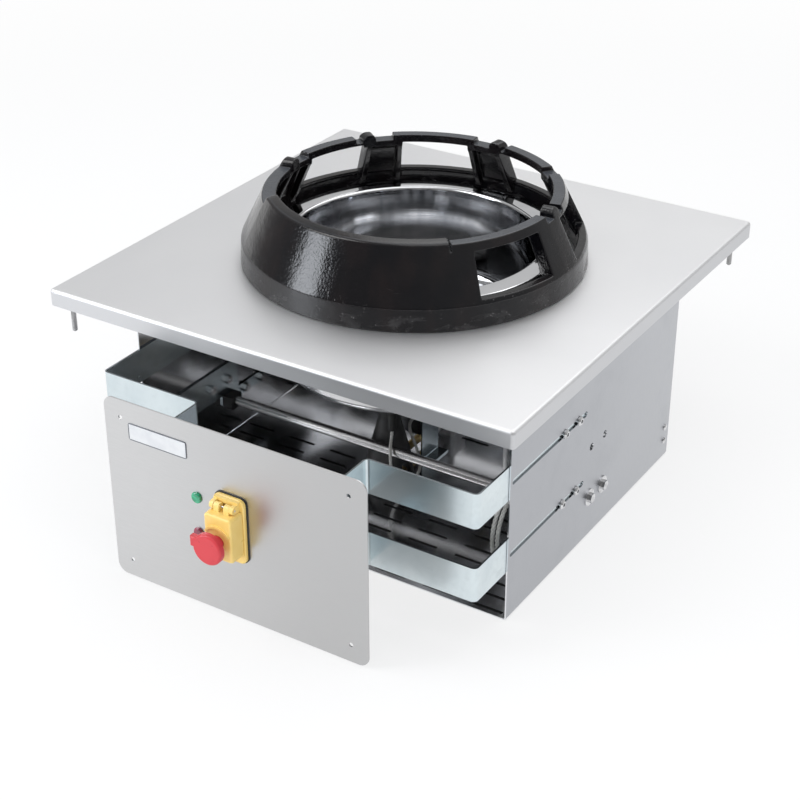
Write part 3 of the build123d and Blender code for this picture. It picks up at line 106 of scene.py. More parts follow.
class Finish:
    """One material or the world, written as expressions on its own coordinates in metres."""

    def __init__(self, name, world=None):
        self.material = world or bpy.data.materials.new(name)
        self.material.use_nodes = True
        self.tree = self.material.node_tree
        self.tree.nodes.clear()
        self.place = self.node("ShaderNodeTexCoord", output="Generated" if world else "Object")

    def node(self, kind, settings=None, inputs=None, output=0):
        """Adds a node: its settings first, then the values or links of its sockets."""
        node = self.tree.nodes.new(kind)
        for key, value in (settings or {}).items():
            setattr(node, key, value)
        for key, value in (inputs or {}).items():
            if isinstance(value, Value):
                self.tree.links.new(value.socket, node.inputs[key])
            else:
                node.inputs[key].default_value = value
        return Value(self, node.outputs[output]) if len(node.outputs) else node

    def stretched(self, scale):
        """The coordinates multiplied axis by axis."""
        inputs = {0: self.place, 1: scale}
        return self.node("ShaderNodeVectorMath", {"operation": "MULTIPLY"}, inputs)

    def axis(self, letter):
        """The coordinate along one axis."""
        return self.node("ShaderNodeSeparateXYZ", inputs={0: self.place}, output=letter)

    def facing(self, letter):
        """How far the surface faces along an axis, from -1 to 1."""
        normal = self.node("ShaderNodeNewGeometry", output="Normal")
        return self.node("ShaderNodeSeparateXYZ", inputs={0: normal}, output=letter)

    def maths(self, operation, first, second=0.0):
        return self.node("ShaderNodeMath", {"operation": operation}, {0: first, 1: second})

    def absolute(self, value):
        return self.maths("ABSOLUTE", value)

    def distance(self, stretch, point):
        """How far a place is from a point, both flattened by the stretch."""
        inputs = {0: self.stretched(stretch), 1: point}
        return self.node("ShaderNodeVectorMath", {"operation": "DISTANCE"}, inputs, "Value")

    def noise(self, scale, detail=2.0, stretch=(1.0, 1.0, 1.0), rough=0.5, distortion=0.0):
        """Soft random patches, from 0 to 1."""
        return self.node(
            "ShaderNodeTexNoise",
            inputs={
                "Vector": self.stretched(stretch),
                "Scale": scale,
                "Detail": detail,
                "Roughness": rough,
                "Distortion": distortion,
            },
        )

    def cells(self, scale, stretch=(1.0, 1.0, 1.0)):
        """How far a place is from the nearest of many scattered points."""
        inputs = {"Vector": self.stretched(stretch), "Scale": scale}
        return self.node("ShaderNodeTexVoronoi", {"feature": "F1"}, inputs, "Distance")

    def between(self, value, low, high, to_low=0.0, to_high=1.0):
        """Goes smoothly from one number to another as a value passes between two levels."""
        inputs = {"Value": value, "From Min": low, "From Max": high}
        inputs.update({"To Min": to_low, "To Max": to_high})
        return self.node("ShaderNodeMapRange", {"interpolation_type": "SMOOTHSTEP"}, inputs)

    def blend(self, amount, first, second):
        """Mixes two colours."""
        colours = [c if isinstance(c, Value) else (*c, 1.0) for c in (first, second)]
        inputs = {0: amount, 6: colours[0], 7: colours[1]}
        return self.node("ShaderNodeMix", {"data_type": "RGBA"}, inputs, 2)

    def bump(self, height, distance, strength=1.0):
        """Relief whose height of 1 is a distance in metres."""
        inputs = {"Height": height, "Distance": distance, "Strength": strength}
        return self.node("ShaderNodeBump", inputs=inputs)

    def shade(self, colour, roughness, normal=None, **constants):
        """Closes the material with a Principled shader."""
        inputs = {
            "Base Color": colour if isinstance(colour, Value) else (*colour, 1.0),
            "Roughness": roughness,
        }
        if normal is not None:
            inputs["Normal"] = normal
        for key, value in constants.items():
            inputs[key.replace("_", " ")] = value
        shader = self.node("ShaderNodeBsdfPrincipled", inputs=inputs)
        self.node("ShaderNodeOutputMaterial", inputs={"Surface": shader})
        return self.material

    def metal(self, colour, roughness, height, distance, strength=1.0):
        """Closes the material as bare metal with a relief."""
        return self.shade(colour, roughness, self.bump(height, distance, strength), Metallic=1.0)


# ---------------------------------------------------------------- metal finishes
SHEET_WARP = 0.3 * MM
THREAD_PITCH = 1 * MM


def worktop_steel(name):
    """Satin sheet with painted shade that makes its rolled edges a little darker than its top."""
    finish = Finish(name)
    fine = finish.noise(60.0, 3.0, (1.0, 40.0, 40.0), 0.6)
    clouds = finish.noise(3.5, 3.0, rough=0.55, distortion=0.4)
    surface = finish.blend(
        finish.between(clouds, 0.3, 0.7), (0.82, 0.823, 0.835), (0.85, 0.852, 0.86)
    )
    surface = finish.blend(finish.between(fine, 0.3, 0.7) * 0.15, surface, (0.74, 0.745, 0.76))
    # Painted shade: faces that do not face up are painted darker than the top.
    edge = finish.between(finish.absolute(finish.facing("Z")), 0.6, 0.2)
    surface = finish.blend(edge, surface, (0.68, 0.685, 0.70))
    gloss = 0.50 + (clouds - 0.5) * 0.06 + (fine - 0.5) * 0.04
    return finish.metal(surface, gloss, fine, 0.02 * MM, 0.25)


def mirror_steel(name, colour, roughness):
    """Bright annealed sheet: nearly a mirror, with faint scratches and finger marks."""
    finish = Finish(name)
    marks = finish.noise(14.0, 4.0, rough=0.65, distortion=0.8)
    scratches = finish.noise(35.0, 2.0, (1.0, 26.0, 9.0), 0.6)
    dulled = tuple(c * 0.94 for c in colour)
    surface = finish.blend(finish.between(marks, 0.35, 0.7), dulled, colour)
    gloss = roughness + finish.between(marks, 0.45, 0.75) * 0.05 + (scratches - 0.5) * 0.03
    warp = finish.noise(4.0, 1.0)
    return finish.metal(surface, gloss, warp + scratches * 0.004, SHEET_WARP)


def housing_steel(name):
    """Sheet that is a mirror inside and satin outside its walls, with painted light that makes the
    outside lighter towards the back and painted shade that darkens its sheet edges.
    """
    finish = Finish(name)
    low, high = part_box("housing")
    middle = (low.x + high.x) / 2
    across = finish.absolute(finish.axis("X") - middle)
    half = (high.x - low.x) / 2
    outside = finish.between(across, half - 0.6 * MM, half - 0.3 * MM)
    outside = outside * finish.between(finish.absolute(finish.facing("X")), 0.5, 0.8)
    marks = finish.noise(14.0, 4.0, rough=0.65, distortion=0.8)
    bloom = finish.noise(3.2, 2.0, (1.0, 1.0, 1.6))
    grain = finish.noise(420.0, 3.0, (1.0, 1.0, 0.2), 0.7)
    spangle = finish.noise(900.0, 2.0, rough=0.7)
    inner = finish.blend(finish.between(marks, 0.35, 0.7), (0.80, 0.81, 0.83), (0.88, 0.89, 0.91))
    inner = finish.blend(finish.between(spangle, 0.35, 0.65) * 0.25, inner, (0.66, 0.67, 0.70))
    outer = finish.blend(
        finish.between(bloom, 0.25, 0.75), (0.42, 0.43, 0.455), (0.47, 0.48, 0.505)
    )
    # Painted light: the outer walls are painted lighter towards the back.
    painted_light_to_back = finish.between(finish.axis("Y"), low.y + 20 * MM, high.y)
    outer = finish.blend(painted_light_to_back * 0.45, outer, (0.64, 0.65, 0.67))
    outer = finish.blend(finish.between(grain, 0.3, 0.7) * 0.10, outer, (0.36, 0.37, 0.40))
    surface = finish.blend(outside, inner, outer)
    # Painted shade: the sheet edges, which face up or down, are painted dark above the floor.
    painted_edge_shade = finish.between(finish.absolute(finish.facing("Z")), 0.7, 0.9)
    painted_edge_shade = painted_edge_shade * finish.between(finish.axis("Z"), 3 * MM, 5 * MM)
    surface = finish.blend(painted_edge_shade * 0.6, surface, (0.22, 0.23, 0.25))
    gloss = 0.13 + finish.between(marks, 0.45, 0.75) * 0.08
    gloss = gloss + outside * (0.22 + (bloom - 0.5) * 0.05)
    warp = finish.noise(4.0, 1.0)
    return finish.metal(surface, gloss, warp, SHEET_WARP)


def zinc_plate(name):
    """Pale blue-white zinc plating with a soft bloom, small stains and sheet edges painted dark as
    shade.
    """
    finish = Finish(name)
    bloom = finish.noise(9.0, 3.0, rough=0.55, distortion=0.4)
    mottle = finish.noise(150.0, 3.0, rough=0.6)
    stains = finish.noise(26.0, 3.0, (1.0, 1.0, 2.5), 0.6)
    surface = finish.blend(
        finish.between(bloom, 0.3, 0.72), (0.62, 0.70, 0.735), (0.76, 0.83, 0.85)
    )
    surface = finish.blend(finish.between(mottle, 0.45, 0.7) * 0.16, surface, (0.50, 0.57, 0.60))
    surface = finish.blend(finish.between(stains, 0.62, 0.8) * 0.35, surface, (0.45, 0.52, 0.55))
    # Painted shade: the sheet edges, which face up or down, are painted near-black.
    painted_edge_shade = finish.between(finish.absolute(finish.facing("Z")), 0.8, 0.95)
    surface = finish.blend(painted_edge_shade * 0.85, surface, (0.07, 0.075, 0.08))
    gloss = 0.24 + (bloom - 0.5) * 0.10 + (mottle - 0.5) * 0.05
    return finish.metal(surface, gloss, mottle * 0.2 + bloom, 0.04 * MM, 0.35)


def fastener_steel(name):
    """Bright plated steel with small dark marks."""
    finish = Finish(name)
    marks = finish.noise(180.0, 3.0, rough=0.6)
    surface = finish.blend(
        finish.between(marks, 0.4, 0.75), (0.74, 0.74, 0.75), (0.42, 0.42, 0.43)
    )
    gloss = 0.2 + (marks - 0.5) * 0.2
    return finish.metal(surface, gloss, marks, 0.04 * MM, 0.4)


def threaded_steel(name):
    """Dull plated studs whose thread runs round them."""
    finish = Finish(name)
    thread = finish.maths("SINE", finish.axis("Z") * (2.0 * math.pi / THREAD_PITCH))
    marks = finish.noise(90.0, 3.0)
    surface = finish.blend(finish.between(marks, 0.35, 0.7), (0.44, 0.44, 0.45), (0.6, 0.6, 0.6))
    return finish.metal(surface, 0.34 + marks * 0.1, thread, 0.3 * MM, 0.8)


def tube_steel(name):
    """Satin drawn tube with lengthwise lines."""
    finish = Finish(name)
    lines = finish.noise(40.0, 3.0, (1.0, 40.0, 40.0), 0.6)
    soil = finish.noise(22.0, 3.0, (0.4, 1.0, 1.0))
    surface = finish.blend(finish.between(soil, 0.35, 0.7), (0.62, 0.61, 0.6), (0.46, 0.45, 0.45))
    return finish.metal(surface, 0.24 + (lines - 0.5) * 0.2, lines, 0.03 * MM, 0.5)


def turned_brass(name):
    """Turned brass with fine rings and tarnish."""
    finish = Finish(name)
    rings = finish.noise(60.0, 2.0, (1.0, 30.0, 1.0))
    tarnish = finish.noise(45.0, 3.0)
    surface = finish.blend(
        finish.between(tarnish, 0.35, 0.7), (0.80, 0.60, 0.28), (0.52, 0.36, 0.16)
    )
    return finish.metal(surface, 0.25 + rings * 0.12, rings, 0.04 * MM, 0.5)


def cast_aluminium(name):
    """Grainy casting, a little soiled."""
    finish = Finish(name)
    grain = finish.noise(500.0, 3.0)
    soil = finish.noise(30.0, 3.0)
    surface = finish.blend(finish.between(soil, 0.4, 0.7), (0.62, 0.62, 0.63), (0.45, 0.45, 0.45))
    return finish.metal(surface, 0.42 + grain * 0.15, grain, 0.2 * MM, 0.6)


def cast_iron(name):
    """Sooty black casting with a coarse skin."""
    finish = Finish(name)
    skin = finish.noise(320.0, 4.0, rough=0.6)
    soot_and_painted_shade = finish.noise(35.0, 3.0)
    surface = finish.blend(
        finish.between(soot_and_painted_shade, 0.35, 0.7), (0.018, 0.018, 0.019), (0.055, 0.052, 0.05)
    )
    normal = finish.bump(skin, 0.3 * MM, 0.7)
    return finish.shade(surface, 0.42 + skin * 0.25, normal, Specular_IOR_Level=0.6)


# ---------------------------------------------------------------- enamel
FLATS_BOTTOM = 78 * MM       # the rims' flat tops lie between these heights
FLATS_TOP = 90 * MM


def ring_enamel(name):
    """Black enamel with orange peel, slate-grey rim tops and a dusty, scuffed foot band."""
    finish = Finish(name)
    height = finish.axis("Z") - RING_SEAT
    peel = finish.noise(380.0, 2.0, rough=0.5)
    waves = finish.noise(38.0, 2.0)
    runs = finish.noise(16.0, 3.0, (1.0, 1.0, 0.15), 0.6)
    pores = finish.between(finish.cells(260.0), 0.10, 0.02)
    pore_patch = finish.between(finish.noise(26.0, 3.0), 0.54, 0.7)
    tinge = finish.noise(9.0, 3.0, (1.0, 1.0, 0.5), 0.6)
    dust_cloud = finish.noise(30.0, 5.0, (1.0, 1.0, 2.2), 0.68, 0.4)
    dust_low = finish.between(height, RING_BAND * MM * 1.04, RING_BAND * MM * 0.4)
    dust = finish.between(dust_cloud, 0.50, 0.70) * dust_low
    speck = finish.between(finish.noise(420.0, 2.0), 0.64, 0.72)
    speck = speck * finish.between(dust_cloud, 0.48, 0.64)
    chips = speck * finish.between(height, 60 * MM, 15 * MM)
    tinge = finish.between(tinge, 0.35, 0.72)
    surface = finish.blend(tinge, (0.0022, 0.0022, 0.0034), (0.007, 0.005, 0.0055))
    surface = finish.blend(finish.between(runs, 0.52, 0.72) * 0.5, surface, (0.014, 0.008, 0.0075))
    surface = finish.blend(dust * 0.55, surface, (0.055, 0.053, 0.054))
    surface = finish.blend(chips * 0.7, surface, (0.25, 0.24, 0.24))
    flat = finish.between(finish.facing("Z"), 0.86, 0.97)
    flat = flat * finish.between(height, FLATS_BOTTOM, FLATS_BOTTOM + 1.5 * MM)
    flat = flat * finish.between(height, FLATS_TOP, FLATS_TOP - 1 * MM)
    surface = finish.blend(flat * (0.85 + (waves - 0.5) * 0.4), surface, (0.058, 0.063, 0.073))
    gloss = 0.15 + dust * 0.30 + (waves - 0.5) * 0.08 + dust_low * 0.08 + flat * 0.12
    relief = peel * 0.7 + waves * 1.6 - pores * pore_patch * 0.8
    normal = finish.bump(relief, 0.5 * MM, 0.8)
    return finish.shade(
        surface, gloss, normal, Specular_IOR_Level=0.45, Coat_Roughness=0.06, Coat_Weight=0.2
    )


# ---------------------------------------------------------------- plastics, rubber, ceramic, braid
def moulded(name, colour, shade, roughness=0.3, grain=700.0, depth=0.05 * MM, **constants):
    """Moulded plastic with a faint grain, sink marks and handling marks."""
    finish = Finish(name)
    fine = finish.noise(grain, 2.0)
    sink = finish.noise(45.0, 2.0)
    marks = finish.noise(85.0, 4.0, rough=0.65)
    surface = finish.blend(finish.between(sink, 0.3, 0.72), colour, shade)
    gloss = roughness + (marks - 0.5) * 0.16
    normal = finish.bump(fine * 0.4 + sink, depth, 0.6)
    return finish.shade(surface, gloss, normal, **constants)


def mushroom_red(name, axis):
    """Coral-red disc with a few small dots on its face."""
    finish = Finish(name)
    sink = finish.noise(40.0, 2.0)
    marks = finish.noise(120.0, 3.0)
    dots = finish.between(finish.cells(150.0, stretch=(1.0, 0.0, 1.0)), 0.16, 0.1)
    away = finish.distance((1.0, 0.0, 1.0), (axis[0], 0.0, axis[1]))
    ring = finish.between(away, 7.5 * MM, 8.5 * MM) * finish.between(away, 13 * MM, 12 * MM)
    dots = dots * ring
    surface = finish.blend(
        finish.between(sink, 0.35, 0.7), (0.62, 0.045, 0.058), (0.54, 0.032, 0.044)
    )
    surface = finish.blend(dots * 0.75, surface, (0.42, 0.01, 0.03))
    gloss = 0.3 + (marks - 0.5) * 0.12
    return finish.shade(surface, gloss, finish.bump(sink * 0.3 - dots, 0.3 * MM, 0.5))


def lamp_lens(name, deep, pale):
    """Tinted lens with a ribbed reflector behind it."""
    finish = Finish(name)
    ribs = finish.cells(520.0, stretch=(1.0, 0.2, 1.0))
    bloom = finish.noise(120.0, 2.0)
    surface = finish.blend(finish.between(bloom, 0.35, 0.7) * 0.6 + ribs * 0.2, deep, pale)
    normal = finish.bump(ribs, 0.2 * MM, 0.4)
    return finish.shade(surface, 0.1 + bloom * 0.08, normal, Coat_Weight=1.0, Coat_Roughness=0.04)


def braid(name, colour, shade):
    """Woven glass sleeve."""
    finish = Finish(name)
    weave = finish.cells(1100.0)
    soil = finish.noise(60.0, 3.0)
    surface = finish.blend(finish.between(soil, 0.35, 0.75), colour, shade)
    # Painted shade: the gaps between the weave's threads are painted darker.
    painted_gap_shade = tuple(c * 0.5 for c in shade)
    surface = finish.blend(finish.between(weave, 0.35, 0.7) * 0.5, surface, painted_gap_shade)
    return finish.shade(surface, 0.6 + weave * 0.2, finish.bump(weave, 0.4 * MM, 0.8))


# ---------------------------------------------------------------- mesh helpers
def piece(name, mesh, body, finish, smooth_angle=None):
    """Links a mesh as a piece that rides on a body, with edges sharper than an angle kept."""
    made = bpy.data.objects.new(name, mesh)
    bpy.context.scene.collection.objects.link(made)
    made.data.materials.append(finish)
    made.data.shade_smooth()
    if smooth_angle is not None:
        made.data.set_sharp_from_angle(angle=math.radians(smooth_angle))
    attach(made, body)
    return made


def mesh_from(name, corners, faces):
    mesh = bpy.data.meshes.new(name)
    mesh.from_pydata(corners, [], faces)
    mesh.validate()
    mesh.update()
    return mesh


def rounded_line(points, radii, steps):
    """A bent line whose inner corners are arcs of steps pieces."""
    line = [Vector(points[0])]
    for before, corner, after, radius in zip(points, points[1:], points[2:], radii):
        corner = Vector(corner)
        back = (Vector(before) - corner).normalized()
        ahead = (Vector(after) - corner).normalized()
        half = back.angle(ahead) / 2
        reach = radius / math.tan(half)
        centre = corner + (back + ahead).normalized() * (radius / math.sin(half))
        start = corner + back * reach - centre
        end = corner + ahead * reach - centre
        turn = start.angle(end)
        for i in range(steps + 1):
            a = i / steps
            spoke = (start * math.sin((1 - a) * turn) + end * math.sin(a * turn)) / math.sin(turn)
            line.append(centre + spoke)
    line.append(Vector(points[-1]))
    return line


def lathe(name, outline, centre, base, segments):
    """A closed (radius, height) outline turned about an upright axis."""
    corners = []
    faces = []
    count = len(outline)
    for i in range(segments):
        angle = 2 * math.pi * i / segments
        for radius, height in outline:
            corners.append((
                centre[0] + radius * math.cos(angle),
                centre[1] + radius * math.sin(angle),
                base + height,
            ))
    for i in range(segments):
        for j in range(count):
            a = i * count + j
            b = i * count + (j + 1) % count
            c = (i + 1) % segments * count + (j + 1) % count
            d = (i + 1) % segments * count + j
            faces.append((a, d, c, b))
    return mesh_from(name, corners, faces)


# ---------------------------------------------------------------- cast wok ring
# Sizes in millimetres from the seat and the burner's axis, angles in degrees.
RING_FOOT_R = 204.0
RING_FOOT_INNER_R = 190.0
RING_BAND = 27.0
RING_BAND_TAPER = 1.5
RING_RIM_R = 176.2
RING_RIM_INNER_R = 160.0
RING_NOTCH = 80.5
RING_FRONT = 91.5
RING_RIM_DEPTH = 8.0
RING_WALL = 10.0
RIM_ROUNDING = 1.9        # the level under a rim's top that rounds its edge
FRONT_CROWN = (0.0, 0.0, 0.0, 1.5, 3.0)      # how far the front rim falls outward, by layer
TIP_FALL = 2.4            # how far the front rim's left tip lies lower
FRONT_SPAN = (-135.0, -45.5)
LUG_TOP = 90.3
LUG_HALF = 2.9
LUG_OVERHANG = 2.5
LUG_SHOULDER, LUG_SWELL = 0.42, 0.58         # shares of a lug's height at its sides and middle
LUG_LEVELS = (0.4, 0.75, 1.0)
LUG_LINES = (-0.72, -0.38, 0.0, 0.38, 0.72)  # upright lines, in shares of a lug's half width
WINDOW_BOTTOM = 32.0
RIM_OVER_WINDOW = 9.5
POST_PITCH = 45.0
POSTS = [-45.0 + POST_PITCH * i for i in range(6)]
POST_HALF = 8.0
RIB_ANGLE = 2.4
RIB_DEPTH = 7.0
RIB_LOW = 16.0
RIB_START = 1.0           # how proud of the wall a rib is at its foot
RIB_SETBACK = 0.5         # of its head under the rim
RIB_LEAST = 0.4
RAISED_SPANS = (          # of the rims over the windows: start, end and level
    (-45.5, -1.0, 88.0),
    (13.0, 44.0, 86.5),
    (52.0, 79.0, 86.5),
    (95.0, 131.0, 86.5),
    (148.0, 174.0, 86.5),
)
LUG_ANGLES = (7.0, 84.0, 142.0, 185.0)
EDGE_ANGLE = 0.75         # lines this far each side of an edge make its rounding
STEP_ANGLE = 0.4          # the front rim steps down within this of its end
SHARED_ANGLE = 0.3        # edges nearer than this share a line
CLEAR_ANGLE = 0.45        # a rounding line keeps this far from the others
WIDEST_STEP = 6.5
SKIN = 2.2                # the layers next to the wall's faces
LAYERS = 5                # rib face, inner face, inner skin, outer skin, outer face

# Levels of the cage: heights that are the same all round, then the front's, then numbers.
LOW_LEVELS = (0.0, 2.0, RIB_LOW, 24.5, RING_BAND, 29.5, WINDOW_BOTTOM, 34.5, 52.0)
MIDDLE_LEVEL = 65.0
FRONT_LEVELS = (
    68.5, 72.5, 76.1, 78.5, 79.5, RING_NOTCH, 83.5, RING_FRONT - RIM_ROUNDING, RING_FRONT,
)
RIB_BOTTOM, WALL_BOTTOM, RIB_TOP, LUG_ROOT, WINDOW_HEAD, RIM_BASE = 2, 6, 11, 12, 13, 15
CAGE_TOP = 18

# The six sides of a cell: the way to its neighbour, and its four corners there.
CELL_SIDES = (
    ((-1, 0, 0), ((0, 0, 0), (0, 0, 1), (0, 1, 1), (0, 1, 0))),
    ((1, 0, 0), ((1, 0, 0), (1, 1, 0), (1, 1, 1), (1, 0, 1))),
    ((0, -1, 0), ((0, 0, 0), (1, 0, 0), (1, 0, 1), (0, 0, 1))),
    ((0, 1, 0), ((0, 1, 0), (0, 1, 1), (1, 1, 1), (1, 1, 0))),
    ((0, 0, -1), ((0, 0, 0), (0, 1, 0), (1, 1, 0), (1, 0, 0))),
    ((0, 0, 1), ((0, 0, 1), (1, 0, 1), (1, 1, 1), (0, 1, 1))),
)


def in_front(angle):
    """Whether an angle lies on the high solid front."""
    return FRONT_SPAN[0] <= angle < FRONT_SPAN[1]


def rim_fall(angle, level, layer):
    """How far the front rim's top lies below its crown: it falls outward, and at its left tip."""
    if level < CAGE_TOP - 1 or not in_front(angle):
        return 0.0
    return FRONT_CROWN[layer] + (TIP_FALL if angle == FRONT_SPAN[0] else 0.0)


def ring_outer(z):
    """Outer radius of the ring at a height."""
    if z <= RING_BAND:
        return RING_FOOT_R - RING_BAND_TAPER * z / RING_BAND
    foot = RING_FOOT_R - RING_BAND_TAPER
    return foot + (RING_RIM_R - foot) * (z - RING_BAND) / (RING_NOTCH - RING_BAND)


def ring_inner(z, angle):
    """Inner radius of the ring's wall at a height."""
    if z >= (RING_FRONT if in_front(angle) else RING_NOTCH) - RING_RIM_DEPTH:
        return RING_RIM_INNER_R
    if z <= RING_BAND:
        wall = RING_FOOT_R - RING_BAND_TAPER - RING_WALL
        return RING_FOOT_INNER_R + (wall - RING_FOOT_INNER_R) * z / RING_BAND
    return ring_outer(z) - RING_WALL


def ring_rib(z, angle):
    """Radius of the inner face of the ribs and lugs at a height."""
    under_rim = RING_NOTCH - RING_RIM_DEPTH
    if z > under_rim:
        return RING_RIM_INNER_R - LUG_OVERHANG
    rib_foot = RING_FOOT_INNER_R - RIB_DEPTH
    wall = ring_inner(z, angle)
    if z <= RING_BAND:
        along = max(z - RIB_LOW, 0.0) / (RING_BAND - RIB_LOW)
        return wall - RIB_START + (rib_foot - wall + RIB_START) * along
    head = RING_RIM_INNER_R + RIB_SETBACK
    face = rib_foot + (head - rib_foot) * (z - RING_BAND) / (under_rim - RING_BAND)
    return min(face, wall - RIB_LEAST)


def lug_at(angle):
    """Angle from the middle of the lug here, or None."""
    offsets = [angle - place for place in LUG_ANGLES if abs(angle - place) < LUG_HALF + 0.01]
    return offsets[0] if offsets else None


def ring_levels(angle):
    """Heights of the cage's levels at an angle, from the seat up."""
    low = (*LOW_LEVELS, MIDDLE_LEVEL)
    if in_front(angle):
        return low + FRONT_LEVELS
    window = min(max(int((angle - POSTS[0]) // POST_PITCH), 0), len(RAISED_SPANS) - 1)
    top = RAISED_SPANS[window][2]
    head = top - RIM_OVER_WINDOW
    for start, end, level in RAISED_SPANS:
        if start <= angle <= end:
            top = level
    upper = (top - 4.0, top - RIM_ROUNDING, top)
    offset = lug_at(angle)
    if offset is not None:
        swell = math.sqrt(max(0.0, 1.0 - (offset / LUG_HALF) ** 2))
        rise = (LUG_TOP - RING_NOTCH) * (LUG_SHOULDER + LUG_SWELL * swell)
        upper = tuple(RING_NOTCH + rise * part for part in LUG_LEVELS)
    under = RING_NOTCH - RING_RIM_DEPTH
    over_head = min(head + 1.5, RING_NOTCH - 0.7)
    return low + (under - 4.0, under, head - 2.4, head, over_head, RING_NOTCH) + upper


def ring_angles():
    """Angles of the cage's upright lines: edges, lines that round them, and lines between."""
    edges = [FRONT_SPAN[0], FRONT_SPAN[1] - STEP_ANGLE, FRONT_SPAN[1] + STEP_ANGLE]
    for post in POSTS:
        edges += [post - POST_HALF, post + POST_HALF]
        edges += [post - POST_HALF + RIB_ANGLE, post + POST_HALF - RIB_ANGLE]
    for start, end, _ in RAISED_SPANS:
        edges += [start, end] if start > FRONT_SPAN[1] else [end]
    for lug in LUG_ANGLES:
        edges += [lug - LUG_HALF, lug + LUG_HALF]
    lines = []
    for edge in sorted(edges):
        if not lines or edge - lines[-1] > SHARED_ANGLE:
            lines.append(edge)
    for edge in list(lines):
        for extra in (edge - EDGE_ANGLE, edge + EDGE_ANGLE):
            clear = min(abs(extra - line) for line in lines) > CLEAR_ANGLE
            if clear and lug_at(extra) is None:
                lines.append(extra)
    lines += [lug + part * LUG_HALF for lug in LUG_ANGLES for part in LUG_LINES]
    lines.sort()
    lines.append(lines[0] + 360.0)
    filled = []
    for start, end in zip(lines, lines[1:]):
        steps = max(1, math.ceil((end - start) / WIDEST_STEP))
        filled += [start + (end - start) * i / steps for i in range(steps)]
    return filled


def ring_is_solid(angle, level, layer):
    """Whether the casting fills the cell at an angle, level and layer; layer 0 holds the ribs."""
    lug = lug_at(angle) is not None
    raised = in_front(angle) or any(start < angle < end for start, end, _ in RAISED_SPANS)
    if layer == 0 and lug and level >= LUG_ROOT:
        return True
    if level >= RIM_BASE:
        return lug or (raised and layer > 0)
    if layer == 0:
        near = min(abs(angle - post) for post in POSTS)
        return POST_HALF - RIB_ANGLE < near < POST_HALF and RIB_BOTTOM <= level < RIB_TOP
    in_window = any(
        post + POST_HALF < angle < post + POST_PITCH - POST_HALF for post in POSTS[:-1]
    )
    return not (in_window and WALL_BOTTOM <= level < WINDOW_HEAD)


def ring_cage():
    """Closed cage of quads round every solid cell, for a subdivision surface."""
    full_round = 360.0 + FRONT_SPAN[0]
    angles = [angle - 360.0 if angle >= full_round else angle for angle in ring_angles()]
    heights = [ring_levels(angle) for angle in angles]
    count = len(angles)

    def place(i, j, k):
        angle = angles[i]
        z = heights[i][j] - rim_fall(angle, j, k)
        inner = RING_RIM_INNER_R if j >= CAGE_TOP - 2 else ring_inner(z, angle)
        outer = ring_outer(z)
        r = (ring_rib(z, angle), inner, inner + SKIN, outer - SKIN, outer)[k] * MM
        turn = math.radians(angle)
        return BURNER[0] + r * math.cos(turn), BURNER[1] + r * math.sin(turn), RING_SEAT + z * MM

    corners = {}
    faces = []

    def corner(i, j, k):
        key = (i % count, j, k)
        return corners.setdefault(key, len(corners))

    def solid(i, j, k):
        if j < 0 or j >= CAGE_TOP or k < 0 or k >= LAYERS - 1:
            return False
        start = angles[i % count]
        end = angles[(i + 1) % count]
        end += 360.0 if end < start else 0.0
        middle = (start + end) / 2
        middle -= 360.0 if middle >= full_round else 0.0
        return ring_is_solid(middle, j, k)

    for i in range(count):
        for j in range(CAGE_TOP):
            for k in range(LAYERS - 1):
                if not solid(i, j, k):
                    continue
                for way, quad in CELL_SIDES:
                    if not solid(i + way[0], j + way[1], k + way[2]):
                        faces.append(tuple(corner(i + a, j + b, k + c) for a, b, c in quad))
    places = [None] * len(corners)
    for key, index in corners.items():
        places[index] = place(*key)
    return mesh_from("wok_ring_casting", places, faces)


def make_ring():
    """The enamelled casting, rounded by subdivision."""
    mesh = ring_cage()
    casting = bmesh.new()
    casting.from_mesh(mesh)
    bmesh.ops.recalc_face_normals(casting, faces=casting.faces)
    casting.to_mesh(mesh)
    casting.free()
    ring = piece("wok_ring_casting", mesh, "ring", ring_enamel("ring_enamel"))
    rounding = ring.modifiers.new("rounding", "SUBSURF")
    rounding.levels = 2
    rounding.render_levels = 2
    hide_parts("wok_ring")


# ---------------------------------------------------------------- polished bowl
BOWL_SHEET = 1.5
BOWL_LINE = [(177.0, 0.0), (174.0, 20.0), (150.0, 21.5), (146.5, -92.0), (62.0, -97.0)]
BOWL_BENDS = [4.0, 3.0, 18.0]
BEND_STEPS = 7
BOWL_SEGMENTS = 160
# Middle of a dark patch on the bowl's wall, a painted reflection.
BOWL_PAINTED_REFLECTION = (BURNER[0] - 80 * MM, BURNER[1] + 128 * MM, 0.0)


def make_bowl():
    """Bowl of polished sheet with a rolled rim, turned finely enough to mirror the ring."""
    line = rounded_line(BOWL_LINE, BOWL_BENDS, BEND_STEPS)
    outer = []
    for i, place in enumerate(line):
        before = line[max(i - 1, 0)]
        after = line[min(i + 1, len(line) - 1)]
        run = (after - before).normalized()
        outer.append(place + Vector((run.y, -run.x)) * BOWL_SHEET)
    outline = [tuple(p * MM) for p in line] + [tuple(p * MM) for p in reversed(outer)]
    mesh = lathe("bowl_spinning", outline, BURNER, TOP_FACE, BOWL_SEGMENTS)
    steel = bowl_steel("bowl_steel")
    bowl = piece("bowl_spinning", mesh, "root", steel, smooth_angle=50)
    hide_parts("combustion_bowl")


